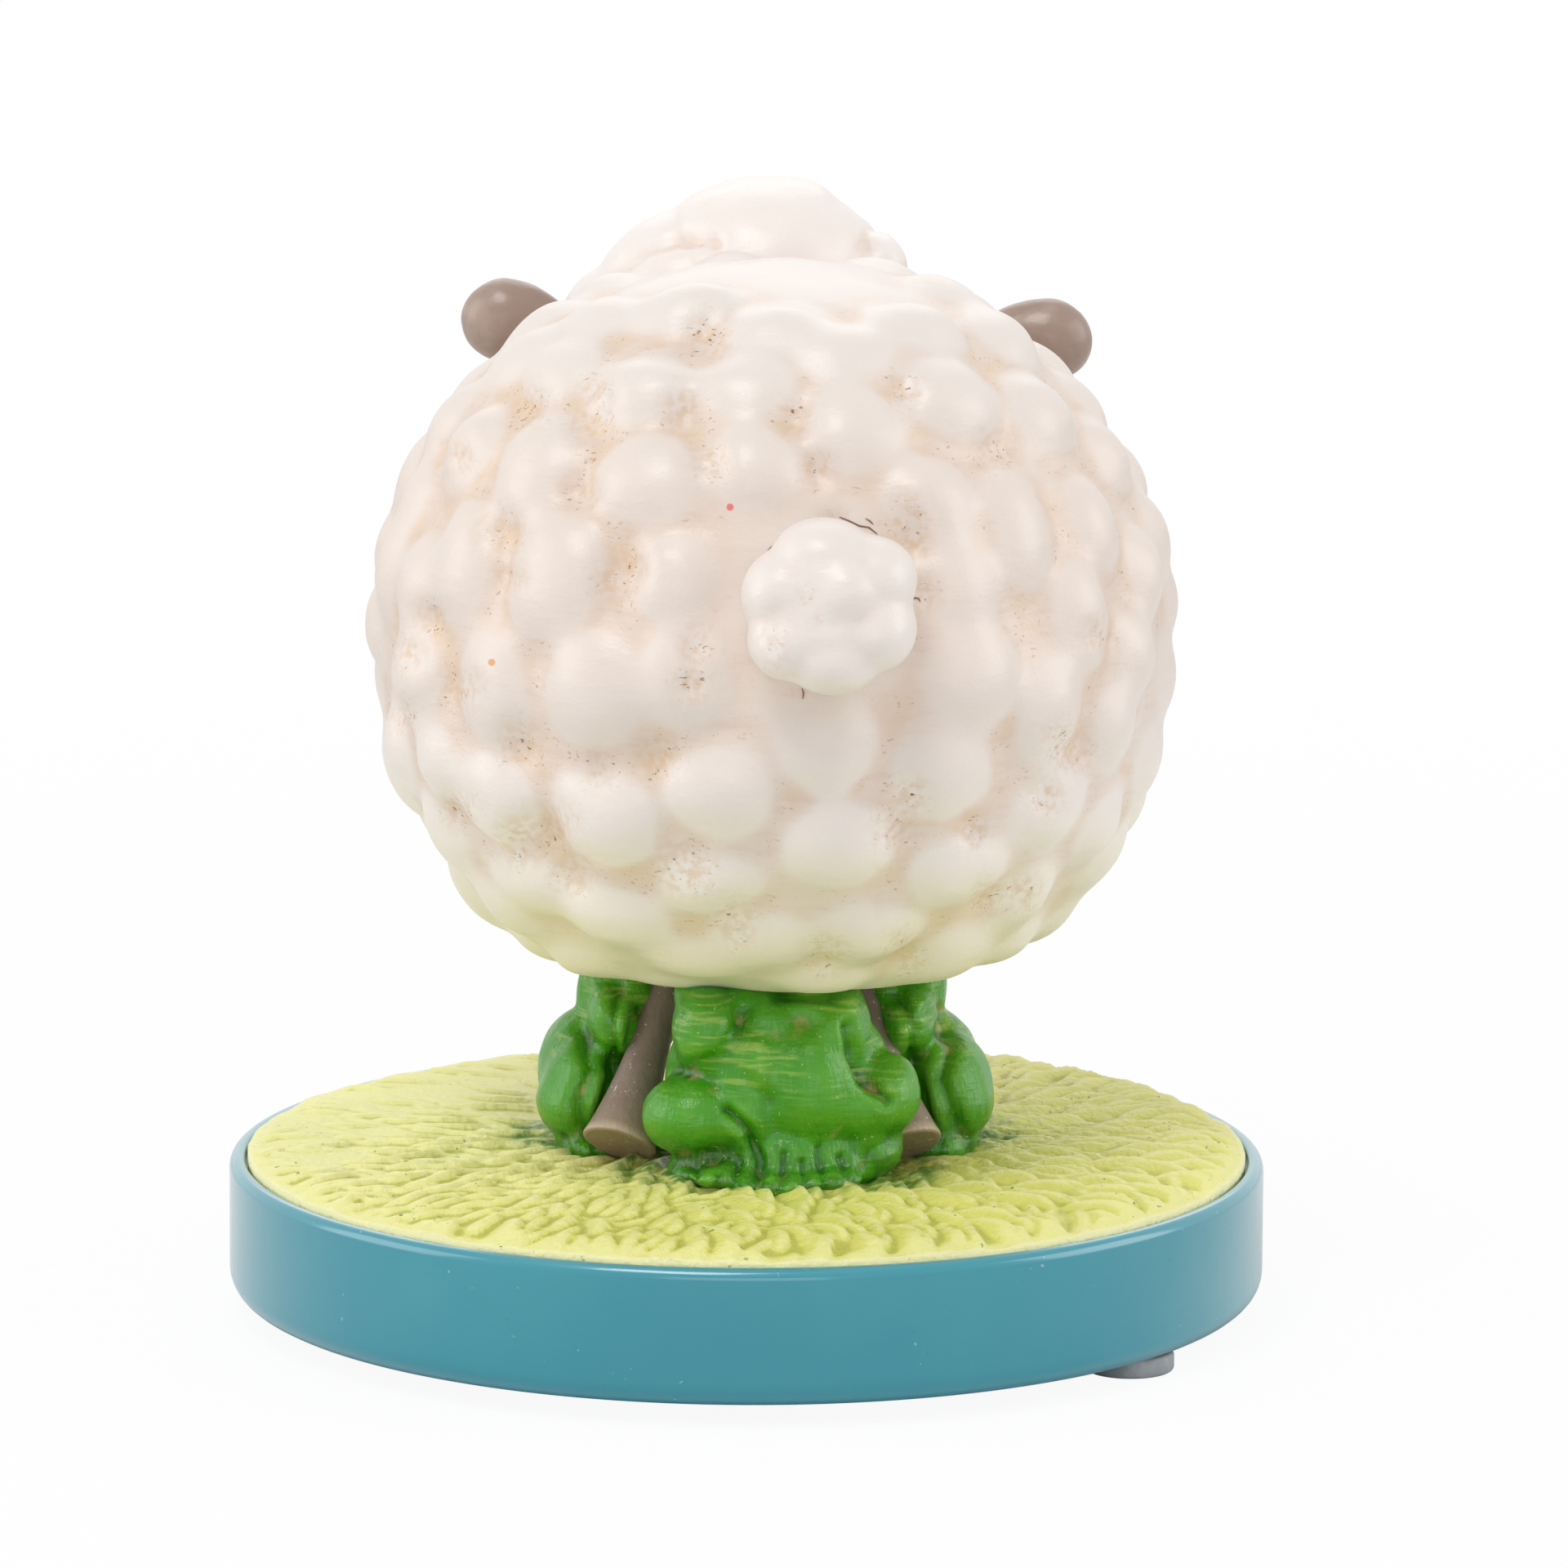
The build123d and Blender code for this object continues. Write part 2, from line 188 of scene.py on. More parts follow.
@dataclass(frozen=True)
class PhotoCamera:
    """Camera of the photograph; it also places what was read off the picture in pixels."""

    lens: float = 227.64
    sensor: float = 36.0
    picture: float = 1920.0
    elevation: float = 10.49
    roll: float = 0.30
    distance: float = 1000.0
    target: Triple = (-3.6, 0.0, 53.9)
    # Nearest and farthest distance that it draws, in metres
    clip: Pair = (0.05, 20.0)

    def focal(self) -> float:
        """Returns the distance from the lens to the picture, in pixels."""
        return self.picture * self.lens / self.sensor

    def axes(self) -> tuple[Vector, Vector, Vector]:
        """Returns the camera's right, up and backward directions."""
        tilt, roll = math.radians(self.elevation), math.radians(self.roll)
        level = Vector((-1, 0, 0))
        rise = Vector((0, -math.sin(tilt), math.cos(tilt)))
        back = Vector((0, math.cos(tilt), math.sin(tilt)))
        right = level * math.cos(roll) + rise * math.sin(roll)
        return right, rise * math.cos(roll) - level * math.sin(roll), back

    def place(self) -> Vector:
        """Returns where the camera stands, in millimetres."""
        return Vector(self.target) + self.axes()[2] * self.distance

    def ray(self, across: float, down: float) -> Vector:
        """Direction through a pixel.

        Args:
            across: pixels from the picture's left edge.
            down: pixels from its top edge.

        Returns:
            The unit direction.
        """
        right, up, back = self.axes()
        middle = self.picture / 2
        sideways = right * (across - middle) + up * (middle - down)
        return (sideways - back * self.focal()).normalized()

    def at_depth(self, across: float, down: float, depth: float) -> Vector:
        """Point that a pixel shows on the plane Y = depth, in millimetres."""
        start, ray = self.place(), self.ray(across, down)
        return start + ray * ((depth - start.y) / ray.y)

    def on_ball(self, across: float, down: float, centre: Vector, radius: float) -> Vector:
        """Point that a pixel shows on a ball, or the ball's nearest point to that ray.

        Args:
            across: pixels from the picture's left edge.
            down: pixels from its top edge.
            centre: the ball's centre in millimetres.
            radius: the ball's radius in millimetres.

        Returns:
            The point in millimetres.
        """
        start, ray = self.place(), self.ray(across, down)
        along = (centre - start).dot(ray)
        inside = radius**2 - ((centre - start).length ** 2 - along**2)
        met = start + ray * (along - math.sqrt(max(inside, 0)))
        return centre + (met - centre).normalized() * radius

    def pixels(self, points: np.ndarray) -> np.ndarray:
        """Pixels at which points in millimetres are seen.

        Args:
            points: rows of x, y and z.

        Returns:
            Rows of pixels across and down.
        """
        right, up, back = (np.array(axis) for axis in self.axes())
        away = points - np.array(self.place())
        depth = -(away @ back)
        middle, focal = self.picture / 2, self.focal()
        across = middle + focal * (away @ right) / depth
        down = middle - focal * (away @ up) / depth
        return np.stack([across, down], 1)

    def add(self) -> None:
        """Puts the camera in the scene."""
        data = bpy.data.cameras.new("photo_camera")
        data.lens, data.sensor_width = self.lens, self.sensor
        data.clip_start, data.clip_end = self.clip
        camera = bpy.data.objects.new("photo_camera", data)
        bpy.context.scene.collection.objects.link(camera)
        turn = Matrix(self.axes()).transposed().to_4x4()
        camera.matrix_world = Matrix.Translation(self.place() * MM) @ turn
        bpy.context.scene.camera = camera


PHOTO = PhotoCamera()


# Forms

@dataclass(frozen=True)
class Lump:
    """Rounded lump of modelling: its centre, its half sizes, and its turns in degrees."""

    centre: Triple
    half: Triple
    lean: float = 0.0
    pitch: float = 0.0

    def matrix(self) -> Matrix:
        """Returns the matrix that makes a unit ball this lump, in metres."""
        turn = Matrix.Rotation(math.radians(self.lean), 4, "Y")
        turn @= Matrix.Rotation(math.radians(self.pitch), 4, "X")
        sizes = Matrix.Diagonal((*[size * MM for size in self.half], 1))
        return Matrix.Translation(Vector(self.centre) * MM) @ turn @ sizes

    def moved(self, origin: Numbers, side: int = 1) -> "Lump":
        """Lump set off from an origin.

        Args:
            origin: where the lump's own places start, in millimetres.
            side: -1 mirrors it.

        Returns:
            The lump in the row frame.
        """
        x, y, z = self.centre
        place = (origin[0] + side * x, origin[1] + y, origin[2] + z)
        return Lump(place, self.half, side * self.lean, self.pitch)


@dataclass(frozen=True)
class SeenLump:
    """Lump read off the photograph: pixel centre and half sizes, and depth in millimetres."""

    across: float
    down: float
    wide: float
    high: float
    depth: float
    deep: float
    lean: float = 0.0

    def lump(self) -> Lump:
        """Returns the lump in the row frame."""
        centre = PHOTO.at_depth(self.across, self.down, self.depth)
        edge = PHOTO.at_depth(self.across + 1, self.down, self.depth)
        per_pixel = (edge - centre).length
        half = (self.wide * per_pixel, self.deep, self.high * per_pixel)
        return Lump(tuple(centre), half, self.lean)


@dataclass(frozen=True)
class Groove:
    """Tool mark read off the photograph: pixel points, half width in pixels, depth in mm."""

    points: tuple[Pair, ...]
    width: float
    depth: float

    def strength(self, seen: np.ndarray) -> np.ndarray:
        """How deep the mark goes at each seen point.

        Args:
            seen: rows of pixels across and down.

        Returns:
            Depths in millimetres.
        """
        marks = [np.array(point, dtype=float) for point in self.points]
        if len(marks) == 1:
            marks.append(marks[0] + 0.01)
        nearest = np.full(len(seen), np.inf)
        for start, end in zip(marks, marks[1:]):
            run = end - start
            share = np.clip((seen - start) @ run / (run @ run), 0, 1)
            away = np.linalg.norm(seen - start - share[:, None] * run, axis=1)
            nearest = np.minimum(nearest, away)
        return self.depth * np.exp(-((nearest / self.width) ** 2))


def vertex_rows(mesh: Mesh, what: str = "co") -> np.ndarray:
    """Vertex places or normals of a mesh.

    Args:
        mesh: the mesh.
        what: "co" for places or "normal" for normals.

    Returns:
        Rows of x, y and z.
    """
    rows = np.empty(3 * len(mesh.vertices))
    mesh.vertices.foreach_get(what, rows)
    return rows.reshape(-1, 3)


def press(piece: Object, grooves: Iterable[Groove], nearest: float) -> None:
    """Presses tool marks into the side of a piece that the photograph shows.

    Args:
        piece: what is marked.
        grooves: the marks.
        nearest: points with less Y than this, in millimetres, are left alone.
    """
    mesh = piece.data
    places, normals = vertex_rows(mesh) / MM, vertex_rows(mesh, "normal")
    seen = PHOTO.pixels(places)
    facing = np.clip(normals @ np.array(PHOTO.axes()[2]) * 1.6, 0, 1)
    facing *= np.clip((places[:, 1] - nearest) / 2, 0, 1)
    for groove in grooves:
        places -= normals * (groove.strength(seen) * facing)[:, None]
    mesh.vertices.foreach_set("co", (places * MM).ravel())
    mesh.update()


def mark_stains(piece: Object, stains: Iterable[Triple]) -> None:
    """Stores where the wash left its stains, as the photograph shows them.

    Args:
        piece: what is stained.
        stains: pixel place and reach of each.
    """
    places, normals = vertex_rows(piece.data) / MM, vertex_rows(piece.data, "normal")
    seen = PHOTO.pixels(places)
    facing = np.clip(normals @ np.array(PHOTO.axes()[2]) * 4, 0, 1)
    stain = np.zeros(len(places))
    for across, down, reach in stains:
        stain = np.maximum(stain, Groove(((across, down),), reach, 1.0).strength(seen))
    marks = piece.data.attributes.new(STAIN, "FLOAT", "POINT")
    marks.data.foreach_set("value", stain * facing)


def geodesic(frequency: int) -> tuple[list[Vector], list[tuple[int, int, int]]]:
    """Even ball of triangles.

    Args:
        frequency: runs along each edge of the icosahedron that it starts from.

    Returns:
        Unit directions, and triangles of their numbers.
    """
    start = bmesh.new()
    bmesh.ops.create_icosphere(start, subdivisions=1, radius=1)
    directions: list[Vector] = []
    numbers: dict[tuple[float, ...], int] = {}
    triangles = []
    for face in start.faces:
        a, b, c = (corner.co.copy() for corner in face.verts)
        grid = {}
        for i in range(frequency + 1):
            for j in range(frequency + 1 - i):
                place = (a * (frequency - i - j) + b * i + c * j) / frequency
                key = tuple(round(share, 5) + 0.0 for share in place)
                if key not in numbers:
                    numbers[key] = len(directions)
                    directions.append(place.normalized())
                grid[i, j] = numbers[key]
        for i, j in grid:
            if i + j < frequency:
                triangles.append((grid[i, j], grid[i + 1, j], grid[i, j + 1]))
            if i + j < frequency - 1:
                triangles.append((grid[i + 1, j], grid[i + 1, j + 1], grid[i, j + 1]))
    start.free()
    return directions, triangles


def fused(name: str, lumps: Iterable[Lump], voxel: float, soften: int, rings: int = 4) -> Object:
    """Runs lumps together into one skin with soft creases, as modelling paste would.

    Args:
        name: the piece's name.
        lumps: what it is made of.
        voxel: mesh size in millimetres.
        soften: passes that round the creases.
        rings: subdivisions of each lump.

    Returns:
        The piece.
    """
    shape = bmesh.new()
    for lump in lumps:
        bmesh.ops.create_icosphere(shape, subdivisions=rings, radius=1, matrix=lump.matrix())
    mesh = bpy.data.meshes.new(name)
    shape.to_mesh(mesh)
    shape.free()
    piece = add_object(name, mesh)
    fuse = piece.modifiers.new("fuse", "REMESH")
    fuse.mode, fuse.voxel_size, fuse.use_smooth_shade = "VOXEL", voxel * MM, True
    smooth = piece.modifiers.new("soften", "SMOOTH")
    smooth.factor, smooth.iterations = 0.5, soften
    settle(piece)
    return piece


def arc(across: float, up: float, radius: float, start: float, end: float, steps: int = 8) -> list[Pair]:
    """Points of an arc of a turned outline.

    Args:
        across: the arc's centre, out from the axis.
        up: the arc's centre, along the axis.
        radius: its radius.
        start: first angle in degrees, from straight out.
        end: last angle.
        steps: how many runs it has.

    Returns:
        Pairs of radius and height.
    """
    turns = [math.radians(start + (end - start) * step / steps) for step in range(steps + 1)]
    return [(across + radius * math.cos(turn), up + radius * math.sin(turn)) for turn in turns]


def capped_rings(sides: int, rings: int) -> list[list[int]]:
    """Faces of rings of points between two poles.

    Args:
        sides: points in each ring.
        rings: how many rings there are.

    Returns:
        Faces of point numbers; the poles are the first and the last point.
    """
    faces: list[list[int]] = []
    last = sides * rings + 1
    top = last - 1 - sides
    for side in range(sides):
        here, after = 1 + side, 1 + (side + 1) % sides
        faces.append([0, after, here])
        for low in range(0, top, sides):
            faces.append([low + here, low + after, low + sides + after, low + sides + here])
        faces.append([last, top + here, top + after])
    return faces


def turned(name: str, outline: Sequence[Pair], sides: int, axis: Matrix | None = None) -> Object:
    """Makes a closed turned form.

    Args:
        name: the piece's name.
        outline: radius and height from one pole to the other, without the poles' own points.
        sides: how many sides it has.
        axis: matrix that puts it in place, in millimetres.

    Returns:
        The piece.
    """
    axis = axis or Matrix.Identity(4)
    points = [axis @ Vector((0, 0, outline[0][1]))]
    for radius, height in outline:
        for side in range(sides):
            turn = 2 * math.pi * side / sides
            points.append(axis @ Vector((radius * math.cos(turn), radius * math.sin(turn), height)))
    points.append(axis @ Vector((0, 0, outline[-1][1])))
    return add_shape(name, points, capped_rings(sides, len(outline)))


def swept(name: str, line: Sequence[Vector], radii: Numbers, sides: int) -> Object:
    """Makes a closed form that follows a line, with a radius at each of its points.

    Args:
        name: the piece's name.
        line: points in millimetres.
        radii: a radius for each point.
        sides: how many sides it has.

    Returns:
        The piece.
    """
    points: list[Vector] = [line[0]]
    side_way = Vector((0, 1, 0))
    for number, (centre, radius) in enumerate(zip(line, radii)):
        ahead = line[min(number + 1, len(line) - 1)] - line[max(number - 1, 0)]
        first = ahead.cross(side_way).normalized()
        second = ahead.cross(first).normalized()
        for side in range(sides):
            turn = 2 * math.pi * side / sides
            points.append(centre + (first * math.cos(turn) + second * math.sin(turn)) * radius)
    points.append(line[-1])
    return add_shape(name, points, capped_rings(sides, len(line)))


# Geometry Nodes

@dataclass
class Carving:
    """A Geometry Nodes tree with named inputs, and the names of the values it is run with."""

    name: str
    sockets: dict[str, str]
    tree: NodeTree = field(init=False)
    into: Node = field(init=False)

    def __post_init__(self) -> None:
        """Starts the tree with its inputs."""
        self.tree = bpy.data.node_groups.new(self.name, "GeometryNodeTree")
        face = self.tree.interface
        face.new_socket("Geometry", in_out="INPUT", socket_type="NodeSocketGeometry")
        face.new_socket("Geometry", in_out="OUTPUT", socket_type="NodeSocketGeometry")
        for label, kind in self.sockets.items():
            face.new_socket(label, in_out="INPUT", socket_type=f"NodeSocket{kind}")
        self.into = add_node(self.tree, "NodeGroupInput")

    def given(self, label: str) -> NodeSocket:
        """Returns the socket of a named input."""
        return self.into.outputs[label]

    def node(self, kind: str, inputs: dict[Any, Any] | None = None, **settings: Any) -> Any:
        """Adds a node to this tree and returns it."""
        return add_node(self.tree, kind, inputs, **settings)

    def marked_pits(self, geometry: Node, reach: NodeSocket, depth: float) -> NodeSocket:
        """Stores how deep each point lies below its surroundings.

        Args:
            geometry: the carved skin.
            reach: passes of the blur that gives the surroundings.
            depth: depth in millimetres that counts as 1.

        Returns:
            The geometry with the attribute.
        """
        here = self.node("GeometryNodeInputPosition")
        around = self.node(
            "GeometryNodeBlurAttribute", {0: here, "Iterations": reach, "Weight": 1.0},
            data_type="FLOAT_VECTOR",
        )
        lift = self.node(VECTORS, {0: around, 1: here}, operation="SUBTRACT")
        normal = self.node("GeometryNodeInputNormal")
        along = self.node(VECTORS, {0: lift, 1: normal}, operation="DOT_PRODUCT")
        share = self.node(MATHS, {0: along.outputs["Value"], 1: depth * MM}, operation="DIVIDE")
        stored = self.node(
            "GeometryNodeStoreNamedAttribute", {"Geometry": geometry, "Name": PIT, "Value": share},
            data_type="FLOAT", domain="POINT",
        )
        return stored.outputs[0]

    def finish(self, geometry: NodeSocket) -> None:
        """Ends the tree with a plain mesh in its material.

        Args:
            geometry: what the tree has made.
        """
        plain = self.node("GeometryNodeRealizeInstances", {"Geometry": geometry})
        smooth = self.node("GeometryNodeSetShadeSmooth", {"Geometry": plain})
        painted = self.node(
            "GeometryNodeSetMaterial", {"Geometry": smooth, "Material": self.given("Material")},
        )
        self.node("NodeGroupOutput", {"Geometry": painted})

    def run(self, piece: Object, values: dict[str, Any]) -> None:
        """Carves a piece.

        Args:
            piece: what is carved.
            values: a value for each named input.
        """
        modifier = piece.modifiers.new(self.name, "NODES")
        modifier.node_group = self.tree
        for item in self.tree.interface.items_tree:
            if item.in_out == "INPUT" and item.name in values:
                modifier[item.identifier] = values[item.name]
        settle(piece)


@dataclass(frozen=True)
class Folds:
    """Soft folds of a modelled skin, with lengths in millimetres."""

    depth: float
    spacing: float
    pit_reach: int
    run: float = 1.0
    swirl: float = 1.0


class FoldCarving(Carving):
    """Works soft folds into a modelled skin, and marks its pits."""

    full_pit: float = 0.25

    def __init__(self) -> None:
        """Builds the tree."""
        super().__init__(
            "modelled_folds",
            {
                "Fold Depth": "Float", "Fold Spacing": "Float", "Fold Run": "Float", "Swirl": "Float",
                "Pit Reach": "Int", "Seed": "Float", "Material": "Material",
            },
        )
        here = self.node("GeometryNodeInputPosition")
        size = self.node(MATHS, {0: 1.0, 1: self.given("Fold Spacing")}, operation="DIVIDE")
        fine = self.node(VECTORS, {0: here, "Scale": size}, operation="SCALE")
        coarse = self.node(
            "ShaderNodeTexNoise", {"Vector": fine, "W": self.given("Seed"), "Scale": 0.35, "Detail": 1.0},
            noise_dimensions="4D",
        )
        centred = self.node(VECTORS, {0: coarse.outputs["Color"], 1: (0.5, 0.5, 0.5)}, operation="SUBTRACT")
        swirl = self.node(VECTORS, {0: centred, "Scale": self.given("Swirl")}, operation="SCALE")
        moved = self.node(VECTORS, {0: fine, 1: swirl}, operation="ADD")
        run = self.node(MATHS, {0: 1.0, 1: self.given("Fold Run")}, operation="DIVIDE")
        stretch = self.node("ShaderNodeCombineXYZ", {"X": 1.0, "Y": 1.0, "Z": run})
        drawn = self.node(VECTORS, {0: moved, 1: stretch}, operation="MULTIPLY")
        folds = self.node(
            "ShaderNodeTexNoise", {"Vector": drawn, "W": self.given("Seed"), "Scale": 1.0, "Detail": 1.5},
            noise_dimensions="4D",
        )
        height = self.node(MATHS, {0: folds, 1: 0.5}, operation="SUBTRACT")
        lift = self.node(MATHS, {0: height, 1: self.given("Fold Depth")}, operation="MULTIPLY")
        normal = self.node("GeometryNodeInputNormal")
        offset = self.node(VECTORS, {0: normal, "Scale": lift}, operation="SCALE")
        carved = self.node("GeometryNodeSetPosition", {"Geometry": self.given("Geometry"), "Offset": offset})
        self.finish(self.marked_pits(carved, self.given("Pit Reach"), self.full_pit))

    def work(self, piece: Object, folds: Folds, seed: float, paint: Material) -> None:
        """Works folds into a piece.

        Args:
            piece: what is carved.
            folds: how the folds run.
            seed: which pattern it gets.
            paint: its material.
        """
        values = {
            "Fold Depth": folds.depth * MM, "Fold Spacing": folds.spacing * MM, "Fold Run": folds.run,
            "Swirl": folds.swirl, "Pit Reach": folds.pit_reach, "Seed": seed, "Material": paint,
        }
        self.run(piece, values)


class TuftCarving(Carving):
    """Lays a mound on each tuft point and draws the ball's skin out over them all."""

    full_pit: float = 0.5
    seam_round: float = 0.25
    # How far out the rays start that find the mounds, as a share of the ball's radius
    start_share: float = 1.5

    def __init__(self) -> None:
        """Builds the tree."""
        super().__init__(
            "fleece_tufts",
            {
                "Tuft Points": "Object", "Ball Centre": "Vector", "Ball Radius": "Float",
                "Unevenness": "Float", "Uneven Spacing": "Float", "Soften": "Int", "Belly Level": "Float",
                "Belly Round": "Float", "Pit Reach": "Int", "Material": "Material",
            },
        )
        points = self.node("GeometryNodeObjectInfo", {"Object": self.given("Tuft Points")})
        named = {
            label: self.node("GeometryNodeInputNamedAttribute", {"Name": label}, data_type="FLOAT_VECTOR")
            for label in ("outward", "lengthways", "half_sizes")
        }
        upright = self.node(
            "FunctionNodeAlignRotationToVector", {"Vector": named["outward"].outputs[0]}, axis="Z"
        )
        turned_on = self.node(
            "FunctionNodeAlignRotationToVector",
            {"Rotation": upright, "Vector": named["lengthways"].outputs[0]}, axis="X", pivot_axis="Z",
        )
        mound = self.node("GeometryNodeMeshUVSphere", {"Segments": 28, "Rings": 14, "Radius": 1.0})
        placed = self.node(
            "GeometryNodeInstanceOnPoints",
            {
                "Points": points.outputs["Geometry"], "Instance": mound, "Rotation": turned_on,
                "Scale": named["half_sizes"].outputs[0],
            },
        )
        mounds = self.node("GeometryNodeRealizeInstances", {"Geometry": placed})
        here = self.node("GeometryNodeInputPosition")
        out = self.node(VECTORS, {0: here, 1: self.given("Ball Centre")}, operation="SUBTRACT")
        way = self.node(VECTORS, {0: out}, operation="NORMALIZE")
        start_reach = self.node(
            MATHS, {0: self.given("Ball Radius"), 1: self.start_share}, operation="MULTIPLY"
        )
        stretch = self.node(VECTORS, {0: way, "Scale": start_reach}, operation="SCALE")
        start = self.node(VECTORS, {0: self.given("Ball Centre"), 1: stretch}, operation="ADD")
        inward = self.node(VECTORS, {0: way, "Scale": -1.0}, operation="SCALE")
        met = self.node(
            "GeometryNodeRaycast",
            {
                "Target Geometry": mounds, "Source Position": start, "Ray Direction": inward,
                "Ray Length": start_reach,
            },
        )
        far = self.node(
            VECTORS, {0: met.outputs["Hit Position"], 1: self.given("Ball Centre")}, operation="DISTANCE",
        )
        tuft = self.node(
            "GeometryNodeSwitch",
            {"Switch": met.outputs["Is Hit"], "False": 0.0, "True": far.outputs["Value"]}, input_type="FLOAT",
        )
        skin = self.node(
            MATHS, {0: tuft, 1: self.given("Ball Radius"), 2: self.seam_round * MM}, operation="SMOOTH_MAX",
        )
        size = self.node(MATHS, {0: 1.0, 1: self.given("Uneven Spacing")}, operation="DIVIDE")
        uneven = self.node("ShaderNodeTexNoise", {"Vector": here, "Scale": size, "Detail": 2.0})
        centred = self.node(MATHS, {0: uneven, 1: 0.5}, operation="SUBTRACT")
        waves = self.node(MATHS, {0: centred, 1: self.given("Unevenness"), 2: skin}, operation="MULTIPLY_ADD")
        soft = self.node(
            "GeometryNodeBlurAttribute", {0: waves, "Iterations": self.given("Soften"), "Weight": 1.0},
            data_type="FLOAT",
        )
        reached = self.node(VECTORS, {0: way, "Scale": soft}, operation="SCALE")
        drawn = self.node(VECTORS, {0: reached, 1: self.given("Ball Centre")}, operation="ADD")
        parts = self.node("ShaderNodeSeparateXYZ", {0: drawn})
        belly = self.node(
            MATHS, {0: parts.outputs["Z"], 1: self.given("Belly Level"), 2: self.given("Belly Round")},
            operation="SMOOTH_MAX",
        )
        placed_skin = self.node(
            "ShaderNodeCombineXYZ", {"X": parts.outputs["X"], "Y": parts.outputs["Y"], "Z": belly},
        )
        moved = self.node(
            "GeometryNodeSetPosition", {"Geometry": self.given("Geometry"), "Position": placed_skin},
        )
        self.finish(self.marked_pits(moved, self.given("Pit Reach"), self.full_pit))


class StrokeCarving(Carving):
    """Lays short curled palette strokes all over the grass and draws its skin up over them."""

    full_pit: float = 0.2
    most_strokes: float = 6.0e5
    ray_height: float = 6.0
    ray_length: float = 8.0

    def __init__(self) -> None:
        """Builds the tree."""
        super().__init__(
            "grass_strokes",
            {
                "Spacing": "Float", "Stroke Size": "Vector", "Tip Lift": "Float", "Side Lift": "Float",
                "Turn Spread": "Float", "Size Spread": "Float", "Seed": "Int", "Soften": "Int",
                "Pit Reach": "Int", "Material": "Material",
            },
        )
        top = self.node("GeometryNodeInputNamedAttribute", {"Name": "top"}, data_type="FLOAT")
        strewn = self.node(
            "GeometryNodeDistributePointsOnFaces",
            {
                "Mesh": self.given("Geometry"), "Distance Min": self.given("Spacing"),
                "Density Max": self.most_strokes, "Density Factor": top, "Seed": self.given("Seed"),
            },
            distribute_method="POISSON",
        )
        here = self.node("GeometryNodeInputPosition")
        level = self.node(VECTORS, {0: here, 1: (1.0, 1.0, 0.0)}, operation="MULTIPLY")
        outward = self.node("FunctionNodeAlignRotationToVector", {"Vector": level}, axis="X")
        less = self.node(MATHS, {0: self.given("Turn Spread"), 1: -1.0}, operation="MULTIPLY")
        yaw = self.node(
            "FunctionNodeRandomValue",
            {2: less, 3: self.given("Turn Spread"), "Seed": self.given("Seed")}, data_type="FLOAT",
        )
        dip = self.node(MATHS, {0: self.given("Tip Lift"), 1: -1.0}, operation="MULTIPLY")
        turn = self.node(
            "ShaderNodeCombineXYZ", {"X": self.given("Side Lift"), "Y": dip, "Z": yaw.outputs[1]},
        )
        euler = self.node("FunctionNodeEulerToRotation", {0: turn})
        laid = self.node("FunctionNodeRotateRotation", {0: outward, 1: euler}, rotation_space="LOCAL")
        small = self.node(MATHS, {0: 1.0, 1: self.given("Size Spread")}, operation="SUBTRACT")
        big = self.node(MATHS, {0: 1.0, 1: self.given("Size Spread")}, operation="ADD")
        share = self.node(
            "FunctionNodeRandomValue", {2: small, 3: big, "Seed": self.given("Seed")}, data_type="FLOAT",
        )
        sizes = self.node(
            VECTORS, {0: self.given("Stroke Size"), "Scale": share.outputs[1]}, operation="SCALE",
        )
        dab = self.node("GeometryNodeMeshUVSphere", {"Segments": 18, "Rings": 9, "Radius": 1.0})
        placed = self.node(
            "GeometryNodeInstanceOnPoints",
            {"Points": strewn.outputs["Points"], "Instance": dab, "Rotation": laid, "Scale": sizes},
        )
        dabs = self.node("GeometryNodeRealizeInstances", {"Geometry": placed})
        above = self.node(VECTORS, {0: here, 1: (0.0, 0.0, self.ray_height * MM)}, operation="ADD")
        met = self.node(
            "GeometryNodeRaycast",
            {
                "Target Geometry": dabs, "Source Position": above, "Ray Direction": (0.0, 0.0, -1.0),
                "Ray Length": self.ray_length * MM,
            },
        )
        height = self.node("ShaderNodeSeparateXYZ", {0: met.outputs["Hit Position"]})
        ground = self.node("ShaderNodeSeparateXYZ", {0: here})
        rise = self.node(MATHS, {0: height.outputs["Z"], 1: ground.outputs["Z"]}, operation="SUBTRACT")
        kept = self.node(MATHS, {0: rise, 1: 0.0}, operation="MAXIMUM")
        lift = self.node(
            "GeometryNodeSwitch", {"Switch": met.outputs["Is Hit"], "False": 0.0, "True": kept},
            input_type="FLOAT",
        )
        only_top = self.node(MATHS, {0: lift, 1: top}, operation="MULTIPLY")
        soft = self.node(
            "GeometryNodeBlurAttribute", {0: only_top, "Iterations": self.given("Soften"), "Weight": 1.0},
            data_type="FLOAT",
        )
        offset = self.node("ShaderNodeCombineXYZ", {"Z": soft})
        moved = self.node("GeometryNodeSetPosition", {"Geometry": self.given("Geometry"), "Offset": offset})
        self.finish(self.marked_pits(moved, self.given("Pit Reach"), self.full_pit))


# Finishes

Mask = NodeSocket


